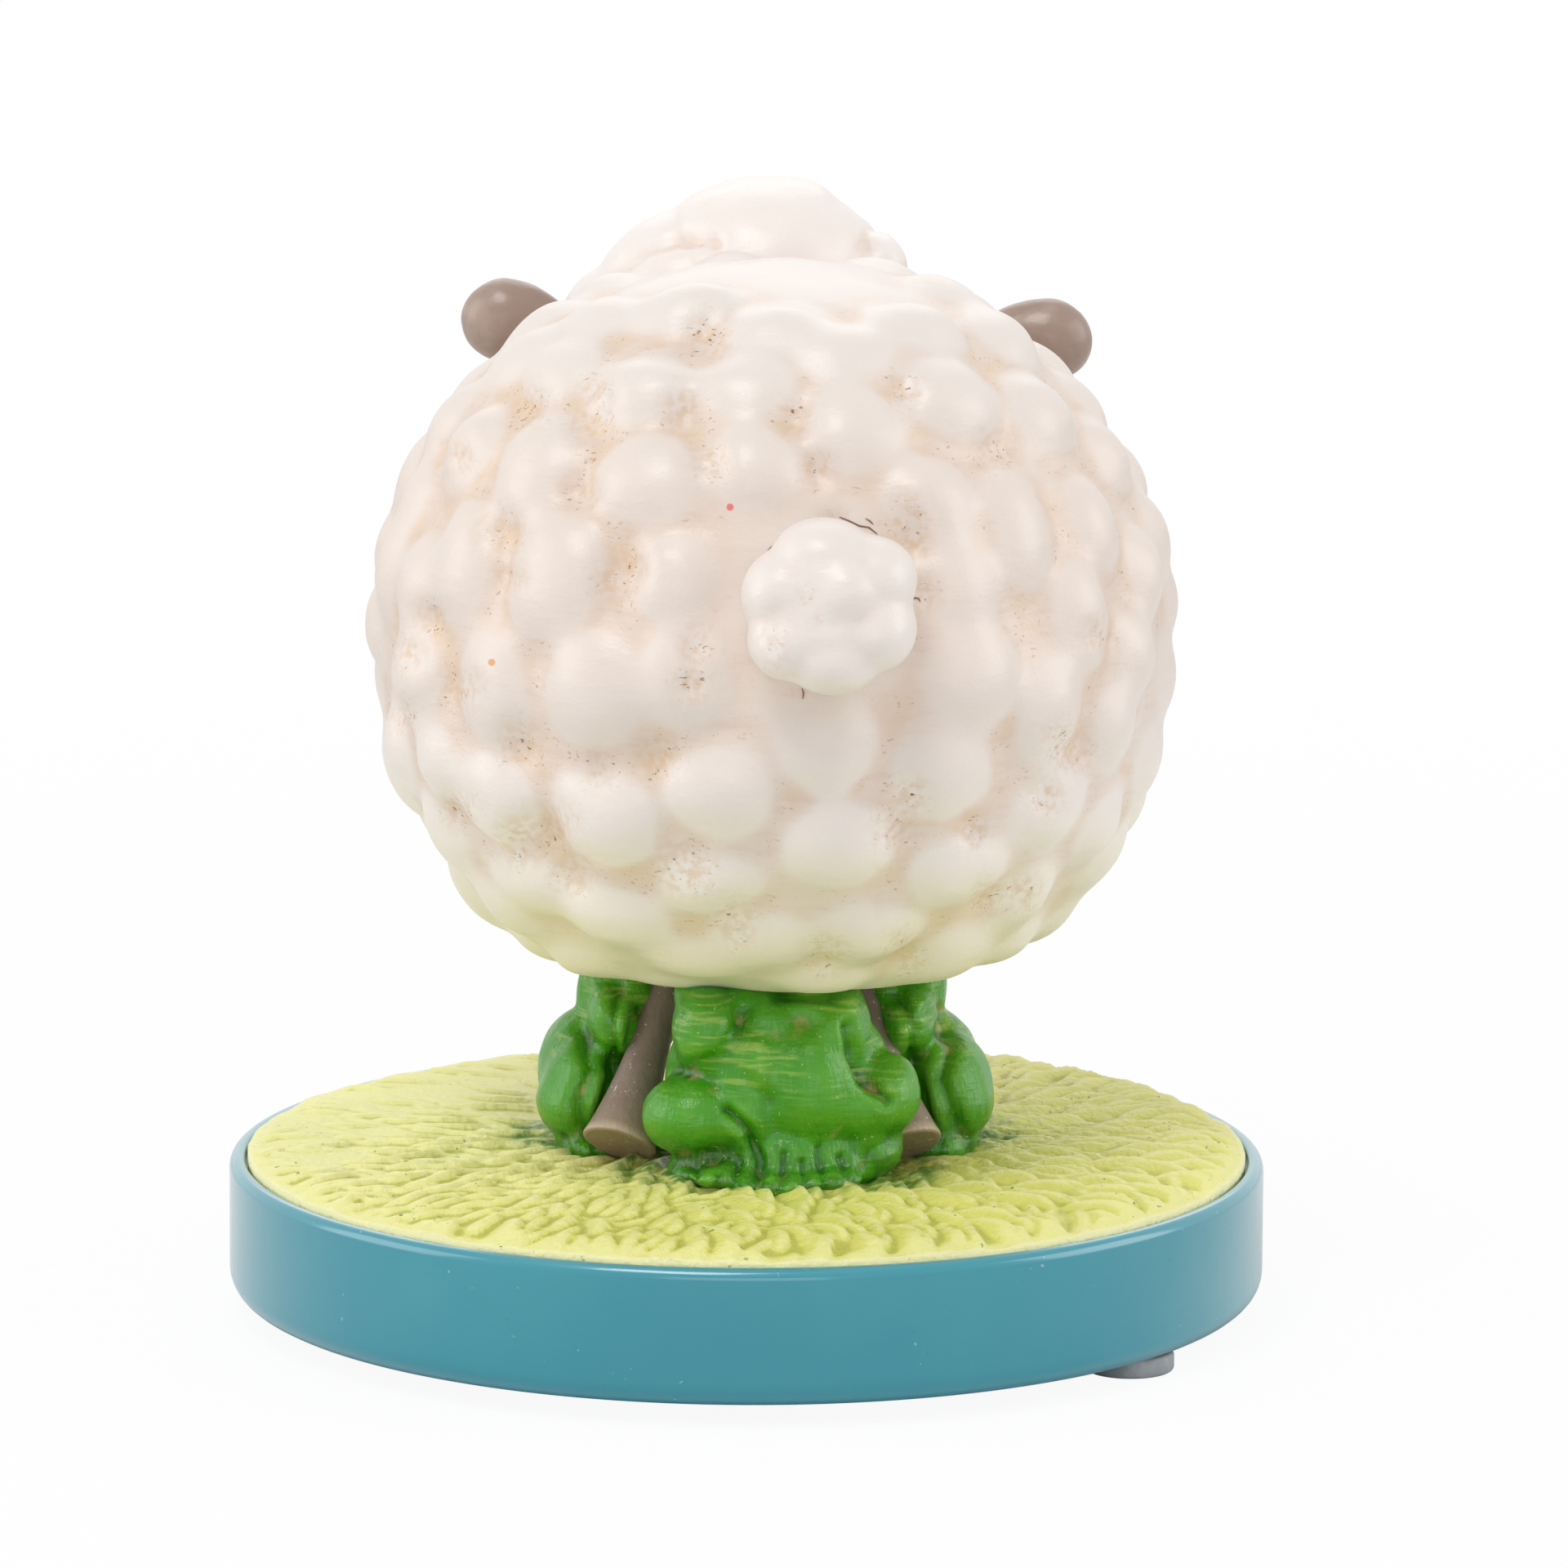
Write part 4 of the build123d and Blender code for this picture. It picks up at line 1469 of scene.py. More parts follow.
@dataclass
class Turf:
    """Grass inlay: a disc covered with curled palette strokes, sloping to a wavy lip."""

    radius: float = 50.6
    floor: float = 14.3
    edge_top: float = 16.05
    top: float = 16.9
    margin: float = 6.0
    lip_wave: float = 0.24
    lip_rise: float = 0.2
    lip_rings: int = 5
    # Waves round the lip, each a step further on in phase
    lip_waves: tuple[int, ...] = (23, 41, 13)
    edge_fade: float = 2.4
    edge_share: float = 0.35
    # Rings of the mesh: outer radius, how many of them, and sides of each
    ring_bands: tuple[tuple[float, int, int], ...] = ((24.0, 50, 480), (50.6, 74, 960))
    stroke_spacing: float = 1.65
    stroke_half: Triple = (3.0, 1.8, 0.24)
    size_spread: float = 0.45
    tip_lift: float = 8.0
    side_lift: float = 26.0
    turn_spread: float = 42.0
    soften: int = 1
    pit_reach: int = 12
    # Way to the calm part of the ground, where it starts and how wide it grows
    calm_way: Pair = (0.75, -0.66)
    calm_start: float = 8.0
    calm_width: float = 26.0
    calm_share: float = 0.6
    # Dark green round the bushes, partly paint and partly painted shade: places and reach
    bush_feet: tuple[Triple, ...] = (
        (14.0, -2.0, 9.0), (-17.0, -2.0, 9.0), (2.0, 14.0, 9.5), (-8.5, 14.0, 9.5),
    )
    seed: int = 7

    def surface(self, radius: float) -> float:
        """Height of the plain ground at a radius."""
        share = min(max((self.radius - radius) / self.margin, 0), 1)
        return self.edge_top + (self.top - self.edge_top) * math.sin(share * math.pi / 2)

    def stroke_share(self, x: float, y: float) -> float:
        """How strong the strokes are at a place: less at the edge and on the calm part.

        Args:
            x: the place's X in millimetres.
            y: its Y.

        Returns:
            A share from 0 to 1.
        """
        inside = min((self.radius - math.hypot(x, y)) / self.edge_fade, 1)
        along = x * self.calm_way[0] + y * self.calm_way[1]
        calm = min(max((along - self.calm_start) / self.calm_width, 0), 1)
        return (self.edge_share + (1 - self.edge_share) * inside) * (1 - self.calm_share * calm)

    def ground(self) -> Object:
        """Lays the plain disc, with the strength of the strokes stored on its points.

        Returns:
            The disc.
        """
        rings: list[tuple[float, int]] = []
        inner = 0.0
        for outer, number, sides in self.ring_bands:
            rings += [(inner + (outer - inner) * (step + 1) / number, sides) for step in range(number)]
            inner = outer
        points = [(0.0, 0.0, self.top)]
        tops = [1.0]
        starts = []
        for number, (radius, sides) in enumerate(rings):
            starts.append(len(points))
            edge = max(0.0, 1 - (len(rings) - 1 - number) / self.lip_rings)
            for side in range(sides):
                turn = 2 * math.pi * side / sides
                waves = [math.sin(count * turn + late) for late, count in enumerate(self.lip_waves)]
                lip = self.lip_rise + self.lip_wave * sum(waves) / len(waves)
                x, y = radius * math.cos(turn), radius * math.sin(turn)
                points.append((x, y, self.surface(radius) + lip * edge))
                tops.append(self.stroke_share(x, y) if number < len(rings) - 2 else 0.0)
        sides = rings[0][1]
        faces: list[tuple[int, ...]] = [(0, 1 + side, 1 + (side + 1) % sides) for side in range(sides)]
        for (low, high), (_, near), (_, far) in zip(zip(starts, starts[1:]), rings, rings[1:]):
            for side in range(near):
                after = (side + 1) % near
                if near == far:
                    faces.append((low + side, high + side, high + after, low + after))
                else:
                    middle, last = high + 2 * side + 1, high + (2 * side + 2) % far
                    faces.append((low + side, high + 2 * side, middle))
                    faces.append((low + side, middle, low + after))
                    faces.append((low + after, middle, last))
        start, sides = starts[-1], rings[-1][1]
        foot = len(points)
        points += [(x, y, self.floor) for x, y, _ in points[start:]]
        points.append((0.0, 0.0, self.floor))
        tops += [0.0] * (sides + 1)
        for side in range(sides):
            after = (side + 1) % sides
            faces.append((start + side, foot + side, foot + after, start + after))
            faces.append((foot + side, foot + sides, foot + after))
        turf = add_shape("grass_inlay", points, faces)
        marks = turf.data.attributes.new("top", "FLOAT", "POINT")
        marks.data.foreach_set("value", tops)
        return turf

    def build(self) -> None:
        """Builds and dresses the grass."""
        turf = self.ground()
        StrokeCarving().run(
            turf,
            {
                "Spacing": self.stroke_spacing * MM, "Stroke Size": [size * MM for size in self.stroke_half],
                "Tip Lift": math.radians(self.tip_lift), "Side Lift": math.radians(self.side_lift),
                "Turn Spread": math.radians(self.turn_spread), "Size Spread": self.size_spread,
                "Seed": self.seed, "Soften": self.soften, "Pit Reach": self.pit_reach,
                "Material": GrassPaint(bush_feet=self.bush_feet).make(),
            },
        )
        hand_over(turf, "grass_paint", "turf_disc")


@dataclass
class Bushes:
    """Three clumps of glossy leaf that carry the body."""

    floor: float = 17.2
    foot_sink: float = 0.6
    top: float = 38.0
    voxel: float = 0.3
    soften: int = 30
    folds: Folds = Folds(0.7, 4.6, 16, run=2.0, swirl=2.5)
    fold_seed: float = 3.0
    # Lumps that the photograph hides, round a core: level and number of each ring
    hidden_rings: tuple[tuple[float, int], ...] = ((-0.5, 6), (0.3, 5))
    ring_share: float = 0.9
    reach_share: float = 0.4
    turn_jitter: float = 0.25
    half_range: Pair = (4.0, 5.0)
    tall_range: Pair = (1.1, 1.5)
    size_share: float = 0.85
    most_lean: float = 35.0
    # Lumps further to the rear than this show in the photograph and are left out
    shown_from: float = 0.4
    seed: int = 5
    rear_cores: tuple[Lump, ...] = (Lump((-3.3, 12.6, 26.4), (11.4, 7.4, 9.6)),)
    rear_seen: tuple[SeenLump, ...] = (
        SeenLump(866, 1262, 45, 60, 16.4, 5, 4), SeenLump(850, 1364, 66, 52, 17.4, 5.4, 8),
        SeenLump(905, 1362, 78, 68, 15.6, 6.8), SeenLump(925, 1308, 70, 78, 15, 6.6),
        SeenLump(985, 1325, 92, 104, 13.8, 8.6), SeenLump(962, 1402, 116, 58, 13.8, 8.8),
        SeenLump(1020, 1258, 48, 56, 14.2, 6), SeenLump(940, 1245, 60, 48, 13, 6.5),
        SeenLump(1000, 1226, 60, 34, 13, 6), SeenLump(905, 1226, 46, 32, 13, 5),
        SeenLump(858, 1218, 34, 26, 13.5, 5), SeenLump(1040, 1345, 66, 58, 14.6, 6.4),
        SeenLump(1082, 1340, 46, 52, 15.4, 5.2, -12), SeenLump(1062, 1398, 46, 46, 14.6, 5.4),
        SeenLump(950, 1428, 96, 36, 17.5, 5.6), SeenLump(1030, 1424, 52, 34, 16, 5.4),
        SeenLump(872, 1430, 56, 34, 17, 5.4), SeenLump(944, 1446, 64, 17, 21.5, 4.6),
        SeenLump(1014, 1440, 46, 16, 20.5, 4.4), SeenLump(878, 1436, 40, 16, 20.5, 4.2),
    )
    rear_marks: tuple[Groove, ...] = (
        Groove(((820, 1312), (850, 1306), (872, 1298)), 11, 0.8),
        Groove(((888, 1288), (898, 1262), (914, 1236)), 10, 0.35),
        Groove(((900, 1306), (918, 1326), (942, 1346)), 12, 0.4),
        Groove(((800, 1412), (850, 1426), (893, 1408)), 13, 0.7),
        Groove(((890, 1358), (918, 1386), (930, 1420), (926, 1462)), 8, 1),
        Groove(((1040, 1256), (1047, 1292), (1060, 1322), (1086, 1348)), 9, 1.2),
        Groove(((1074, 1318),), 18, 0.5), Groove(((955, 1214), (1018, 1214)), 12, 0.9),
        Groove(((1100, 1392), (1064, 1412), (1056, 1450)), 12, 0.7),
        Groove(((960, 1412), (954, 1470)), 6, 0.6), Groove(((982, 1424), (984, 1468)), 5, 0.45),
        Groove(((1002, 1406), (1010, 1466)), 6, 0.6), Groove(((1030, 1418), (1044, 1456)), 6, 0.55),
        Groove(((904, 1422), (898, 1466)), 6, 0.55), Groove(((880, 1436), (874, 1462)), 5, 0.45),
        Groove(((850, 1430), (846, 1458)), 6, 0.5), Groove(((935, 1292), (932, 1344)), 16, -0.4),
        Groove(((1040, 1228), (1052, 1290)), 10, -0.35), Groove(((1000, 1290), (1010, 1360)), 24, -0.4),
    )
    left_cores: tuple[Lump, ...] = (
        Lump((15.2, -2, 23.6), (6.2, 9, 7.2)), Lump((11.8, -2.4, 31), (4, 7.4, 7)),
    )
    left_seen: tuple[SeenLump, ...] = (
        SeenLump(756, 1250, 36, 52, 2.4, 5.8, 8), SeenLump(718, 1334, 56, 76, 2, 7.2),
        SeenLump(702, 1346, 46, 48, 3.2, 5.8), SeenLump(726, 1398, 46, 28, 4.4, 5),
    )
    left_marks: tuple[Groove, ...] = (
        Groove(((758, 1212), (744, 1262), (757, 1318), (736, 1384)), 12, 1.1),
        Groove(((712, 1262), (724, 1306), (708, 1352), (716, 1388)), 11, 0.8),
        Groove(((784, 1240), (772, 1300)), 10, 0.9), Groove(((690, 1394), (696, 1420)), 7, 0.35),
        Groove(((728, 1398), (730, 1424)), 7, 0.35),
    )
    right_cores: tuple[Lump, ...] = (
        Lump((-17.6, -2, 23.6), (6.2, 9, 7.2)), Lump((-14.6, -2.4, 31), (4, 7.4, 7)),
    )
    right_seen: tuple[SeenLump, ...] = (
        SeenLump(1110, 1250, 38, 50, 2.4, 5.8, -8), SeenLump(1158, 1334, 58, 74, 2, 7.2),
        SeenLump(1172, 1346, 46, 50, 3.2, 5.8), SeenLump(1148, 1398, 50, 28, 4.4, 5),
    )
    right_marks: tuple[Groove, ...] = (
        Groove(((1100, 1222), (1124, 1262), (1114, 1310), (1130, 1372)), 12, 1.1),
        Groove(((1144, 1240), (1164, 1272), (1150, 1318), (1172, 1376)), 11, 1),
        Groove(((1164, 1262),), 15, 0.8), Groove(((1150, 1398), (1154, 1424)), 7, 0.35),
        Groove(((1180, 1390), (1190, 1414)), 7, 0.35),
    )

    def hidden_lumps(self, cores: tuple[Lump, ...], seed: int) -> list[Lump]:
        """Lumps all round the cores, away from the camera, spread by a fixed seed.

        Args:
            cores: the lumps that they stand round.
            seed: which spread they get.

        Returns:
            The lumps.
        """
        chance = np.random.default_rng(seed)
        lumps = []
        for core in cores:
            centre, half = Vector(core.centre), Vector(core.half)
            for level, number in self.hidden_rings:
                for step in range(number):
                    turn = step + chance.uniform(-self.turn_jitter, self.turn_jitter)
                    turn = 2 * math.pi * turn / number
                    way = Vector((math.cos(turn) * self.ring_share, math.sin(turn) * self.ring_share, level))
                    size = chance.uniform(*self.half_range)
                    tall = chance.uniform(*self.tall_range)
                    lean = chance.uniform(-self.most_lean, self.most_lean)
                    if way.y > self.shown_from:
                        continue
                    place = centre + Vector([a * b * self.reach_share for a, b in zip(way, half)])
                    wide, high = size * self.size_share, size * tall * self.size_share
                    lumps.append(Lump(tuple(place), (wide, wide, high), lean))
        return lumps

    def build(self) -> None:
        """Builds and dresses the clumps."""
        paint = LeafPaint().make()
        folds = FoldCarving()
        clumps = {
            "rear": (self.rear_cores, self.rear_seen, self.rear_marks, 8.0),
            "left": (self.left_cores, self.left_seen, self.left_marks, -2.0),
            "right": (self.right_cores, self.right_seen, self.right_marks, -2.0),
        }
        for number, (name, (cores, seen, marks, nearest)) in enumerate(clumps.items()):
            lumps = [*cores, *[one.lump() for one in seen]]
            lumps += self.hidden_lumps(cores, self.seed + number)
            clump = fused(f"leaf_clump_{name}", lumps, self.voxel, self.soften)
            press(clump, marks, nearest)
            self.level_ends(clump)
            folds.work(clump, self.folds, self.fold_seed + number, paint)
            hand_over(clump, "leaf_paint", f"bush_{name}")

    def level_ends(self, clump: Object) -> None:
        """Keeps a clump between the ground and the belly."""
        for point in clump.data.vertices:
            point.co.z = min(max(point.co.z, (self.floor - self.foot_sink) * MM), self.top * MM)


@dataclass
class Legs:
    """Four thin shanks that flare to flat ended hooves."""

    middle: Pair = (-1.6, -4.0)
    foot_spread: float = 14.4
    foot_stride: float = 15.6
    top_spread: float = 8.8
    top_stride: float = 4.6
    foot_level: float = 19.1
    top_level: float = 35.7
    hoof_radius: float = 3.8
    shank_radius: float = 1.8
    edge: float = 0.35
    # Flat end of a hoof: its rings as shares of the radius, and how hollow it is
    end_shares: tuple[float, ...] = (0.3, 0.6, 0.85)
    end_hollow: float = 0.25
    flare_power: int = 3
    into_belly: float = 1.5
    stations: int = 22
    sides: int = 40
    folds: Folds = Folds(0.35, 3.0, 6, run=2.0)

    def build(self) -> None:
        """Builds and dresses the legs."""
        paint = LegPaint().make()
        folds = FoldCarving()
        for end in End:
            for side in Side:
                name = f"leg_{end.name.lower()}_{side.name.lower()}"
                leg = self.build_leg(f"{name}_cast", side, end)
                folds.work(leg, self.folds, 2.0 * end.value + side.value, paint)
                hand_over(leg, "leg_paint", name)

    def build_leg(self, name: str, side: Side, end: End) -> Object:
        """Shank and hoof turned about the line from foot to belly.

        Args:
            name: the piece's name.
            side: the side that it stands on.
            end: the end that it stands at.

        Returns:
            The leg.
        """
        x, y = self.middle
        foot = Vector((x + side.value * self.foot_spread, y + end.value * self.foot_stride, self.foot_level))
        top = Vector((x + side.value * self.top_spread, y + end.value * self.top_stride, self.top_level))
        turn = (top - foot).normalized().to_track_quat("Z", "Y").to_matrix().to_4x4()
        length = (top - foot).length
        outline = [(self.hoof_radius * share, self.end_hollow * (1 - share)) for share in self.end_shares]
        outline += arc(self.hoof_radius - self.edge, self.edge, self.edge, -90, 0, 5)
        for step in range(1, self.stations + 1):
            share = step / self.stations
            flare = (self.hoof_radius - self.shank_radius) * (1 - share) ** self.flare_power
            height = self.edge + share * (length + self.into_belly)
            outline.append((self.shank_radius + flare, height))
        return turned(name, outline, self.sides, Matrix.Translation(foot) @ turn)


@dataclass
class Fleece:
    """Ball of wool: a skin drawn over soft oblong tufts."""

    centre: Triple = (-2.4, -4.0, 67.7)
    radius: float = 38.8
    tuft_rise: float = 2.6
    rise_spread: float = 0.35
    low_loss: float = 0.35
    # Tufts lie lower where they point down: share of height where that starts, and its run
    low_start: float = 0.15
    low_run: float = 0.6
    tuft_deep: float = 3.2
    spacing: float = 8.3
    unevenness: float = 1.3
    uneven_spacing: float = 6.5
    soften: int = 17
    pit_reach: int = 50
    belly_level: float = 35.9
    belly_round: float = 6.0
    neck: Triple = (-2.6, -34.0, 93.0)
    neck_clear: float = 13.0
    tail_at: Pair = (1016.0, 743.0)
    tail_clear: float = 11.0
    pole_share: float = 0.91
    # Photograph's pixels across a tuft for a millimetre of half size, and how much of it shows
    half_pixels: float = 24.6
    shown_share: float = 0.78
    least_facing: float = 0.45
    tall_range: Pair = (4.7, 6.9)
    wide_range: Pair = (4.6, 6.3)
    # Tufts that the photograph doesn't show: half size, stretch, and lean in radians
    filler_half: Pair = (4.7, 5.8)
    filler_stretch: Pair = (1.0, 1.15)
    filler_lean: float = 0.6
    filler_tries: int = 6000
    # A stain's hollow: its depth, and its width for each pixel of the stain's reach
    pit_depth: float = 0.8
    pit_share: float = 1.1
    dot_radius: float = 0.4
    # Strength of the yellow green low down, partly overspray and partly painted bounce light from the grass
    overspray_and_grass_bounce: float = 0.26
    seed: int = 11
    frequency: int = 96
    # Tufts read off the photograph: pixel place, width and height
    seen: tuple[tuple[float, float, float, float], ...] = (
        (659, 575, 85, 130), (786, 484, 100, 92), (918, 477, 100, 92), (793, 590, 112, 108),
        (920, 572, 96, 92), (573, 688, 80, 130), (685, 708, 105, 143), (821, 711, 90, 96),
        (494, 690, 60, 110), (586, 552, 70, 96), (692, 459, 84, 84), (835, 383, 96, 74),
        (1238, 645, 82, 133), (1335, 642, 62, 104), (1172, 718, 84, 104), (1318, 754, 70, 116),
        (1268, 506, 80, 96), (1159, 492, 116, 104), (1046, 525, 104, 110), (953, 410, 92, 70),
        (1030, 440, 96, 78), (1118, 412, 90, 70), (1391, 700, 40, 100), (516, 826, 66, 112),
        (606, 843, 84, 118), (732, 843, 104, 118), (612, 976, 102, 108), (745, 1000, 102, 108),
        (881, 972, 106, 104), (652, 1078, 92, 84), (1278, 869, 78, 110), (1358, 893, 56, 100),
        (1029, 1030, 104, 104), (1225, 1158, 88, 60), (740, 395, 78, 60), (1225, 420, 80, 64),
        (868, 1080, 100, 90), (760, 1120, 96, 76),
        (1150, 945, 104, 110), (1010, 915, 96, 100), (1285, 985, 84, 100), (1170, 1065, 100, 90),
        (930, 1150, 100, 70), (1060, 1140, 100, 70), (1190, 830, 96, 112), (835, 830, 86, 104),
        (1350, 560, 56, 84), (545, 930, 60, 90), (1385, 800, 40, 90), (1340, 1010, 60, 80),
        (470, 760, 30, 100), (520, 610, 50, 90), (850, 1170, 90, 50), (1140, 615, 90, 96),
    )

    # Tan stains of the wash, read off the photograph: pixel place and reach
    stains: tuple[Triple, ...] = (
        (838, 499, 24), (722, 515, 26), (652, 499, 22), (612, 651, 26), (622, 708, 18),
        (755, 715, 26), (712, 602, 20), (871, 565, 20), (526, 758, 20), (772, 691, 20),
        (851, 791, 20), (868, 413, 26), (1106, 481, 22), (973, 512, 24), (1000, 575, 20),
        (1112, 635, 26), (1119, 668, 20), (1218, 555, 24), (1126, 728, 22), (563, 843, 24),
        (493, 876, 18), (636, 913, 26), (679, 1012, 26), (563, 992, 22), (838, 1065, 34),
        (805, 926, 24), (848, 840, 22), (738, 942, 22), (1308, 916, 28), (1281, 976, 20),
        (1116, 976, 22), (1092, 1019, 22), (1192, 1019, 20), (1252, 1092, 22), (1106, 1168, 26),
        (1013, 1171, 24), (560, 560, 18), (500, 800, 20), (640, 1030, 30), (1345, 780, 18),
        (1210, 1100, 22), (700, 1070, 26), (900, 1130, 26), (1020, 640, 16), (730, 480, 20),
    )

    # Dots of stray paint, read off the photograph: pixel place and colour
    dots: tuple[tuple[float, float, str], ...] = ((894, 621, "#EB7873"), (602, 811, "#E0A468"))

    def tufts(self) -> list[Tuft]:
        """Places every tuft.

        Returns:
            Outward direction, lengthways direction and half sizes of each.
        """
        centre = Vector(self.centre)
        made = []
        for across, down, wide, high in self.seen:
            point = PHOTO.on_ball(across, down, centre, self.radius)
            outward = (point - centre).normalized()
            facing = max(abs(outward.dot(PHOTO.axes()[2])), self.least_facing)
            tall = high / self.half_pixels / self.shown_share
            broad = wide / self.half_pixels / self.shown_share / facing**0.5
            half_tall = min(max(tall, self.tall_range[0]), self.tall_range[1])
            half_broad = min(max(broad, self.wide_range[0]), self.wide_range[1])
            half = Vector((half_tall, half_broad, self.tuft_deep))
            made.append((outward, self.lengthways(outward, 0.0), half))
        return made + self.filling(made)

    def lengthways(self, outward: Vector, lean: float) -> Vector:
        """Direction up the ball from a tuft.

        Args:
            outward: the tuft's outward direction.
            lean: how far it leans, in radians.

        Returns:
            The unit direction.
        """
        up = Vector((0, 0, 1)) if abs(outward.z) < 0.9 else Vector((0, 1, 0))
        along = (up - outward * up.dot(outward)).normalized()
        return along * math.cos(lean) + outward.cross(along) * math.sin(lean)

    def filling(self, made: list[Tuft]) -> list[Tuft]:
        """Tufts for what the photograph doesn't show, at even spacing, by a fixed seed.

        Args:
            made: the tufts that are there already.

        Returns:
            The further tufts.
        """
        chance = np.random.default_rng(self.seed)
        taken = [outward for outward, _, _ in made]
        tail = PHOTO.on_ball(*self.tail_at, Vector(self.centre), self.radius)
        tail_way = (tail - Vector(self.centre)).normalized()
        neck_way = (Vector(self.neck) - Vector(self.centre)).normalized()
        more = []
        near, by_tail, by_neck = (
            math.cos(reach / self.radius) for reach in (self.spacing, self.tail_clear, self.neck_clear)
        )
        for row in chance.normal(size=(self.filler_tries, 3)):
            way = Vector(row).normalized()
            if way.dot(tail_way) > by_tail or way.dot(neck_way) > by_neck:
                continue
            if abs(way.z) > self.pole_share or any(way.dot(other) > near for other in taken):
                continue
            taken.append(way)
            size = chance.uniform(*self.filler_half)
            half = Vector((size * chance.uniform(*self.filler_stretch), size, self.tuft_deep))
            lean = chance.uniform(-self.filler_lean, self.filler_lean)
            more.append((way, self.lengthways(way, lean), half))
        return more

    def tuft_points(self) -> Object:
        """Lays out a point for each tuft, with its directions and sizes stored on it.

        Returns:
            The helper object.
        """
        centre = Vector(self.centre)
        tufts = self.tufts()
        chance = np.random.default_rng(self.seed + 1)
        sunk = self.radius + self.tuft_rise - self.tuft_deep
        heights = np.array([outward.z for outward, _, _ in tufts])
        levels = sunk + chance.uniform(-self.rise_spread, self.rise_spread, len(tufts))
        levels -= self.low_loss * np.clip((self.low_start - heights) / self.low_run, 0, 1)
        mesh = bpy.data.meshes.new("tuft_points")
        seats = [(centre + outward * level) * MM for (outward, _, _), level in zip(tufts, levels)]
        mesh.from_pydata(seats, [], [])
        columns = {
            "outward": [outward for outward, _, _ in tufts], "lengthways": [along for _, along, _ in tufts],
            "half_sizes": [half * MM for _, _, half in tufts],
        }
        for label, rows in columns.items():
            stored = mesh.attributes.new(label, "FLOAT_VECTOR", "POINT")
            stored.data.foreach_set("vector", [value for row in rows for value in row])
        points = bpy.data.objects.new("tuft_points", mesh)
        bpy.context.scene.collection.objects.link(points)
        return points

    def build(self) -> None:
        """Builds and dresses the ball of wool."""
        centre = Vector(self.centre)
        points = self.tuft_points()
        directions, triangles = geodesic(self.frequency)
        fleece = add_shape("fleece_tufted", [centre + way * self.radius for way in directions], triangles)
        specks = tuple(
            (x, y, PHOTO.on_ball(x, y, centre, self.radius), self.dot_radius, colour)
            for x, y, colour in self.dots
        )
        TuftCarving().run(
            fleece,
            {
                "Tuft Points": points, "Ball Centre": centre * MM, "Ball Radius": self.radius * MM,
                "Unevenness": self.unevenness * MM, "Uneven Spacing": self.uneven_spacing * MM,
                "Soften": self.soften, "Belly Level": self.belly_level * MM,
                "Belly Round": self.belly_round * MM, "Pit Reach": self.pit_reach,
                "Material": FleecePaint(overspray_and_grass_bounce=self.overspray_and_grass_bounce, specks=specks).make(),
            },
        )
        pits = [Groove(((x, y),), self.pit_share * reach, self.pit_depth) for x, y, reach in self.stains]
        press(fleece, pits, 0.0)
        mark_stains(fleece, self.stains)
        discard(points)
        hand_over(fleece, "fleece_paint", "fleece_body")


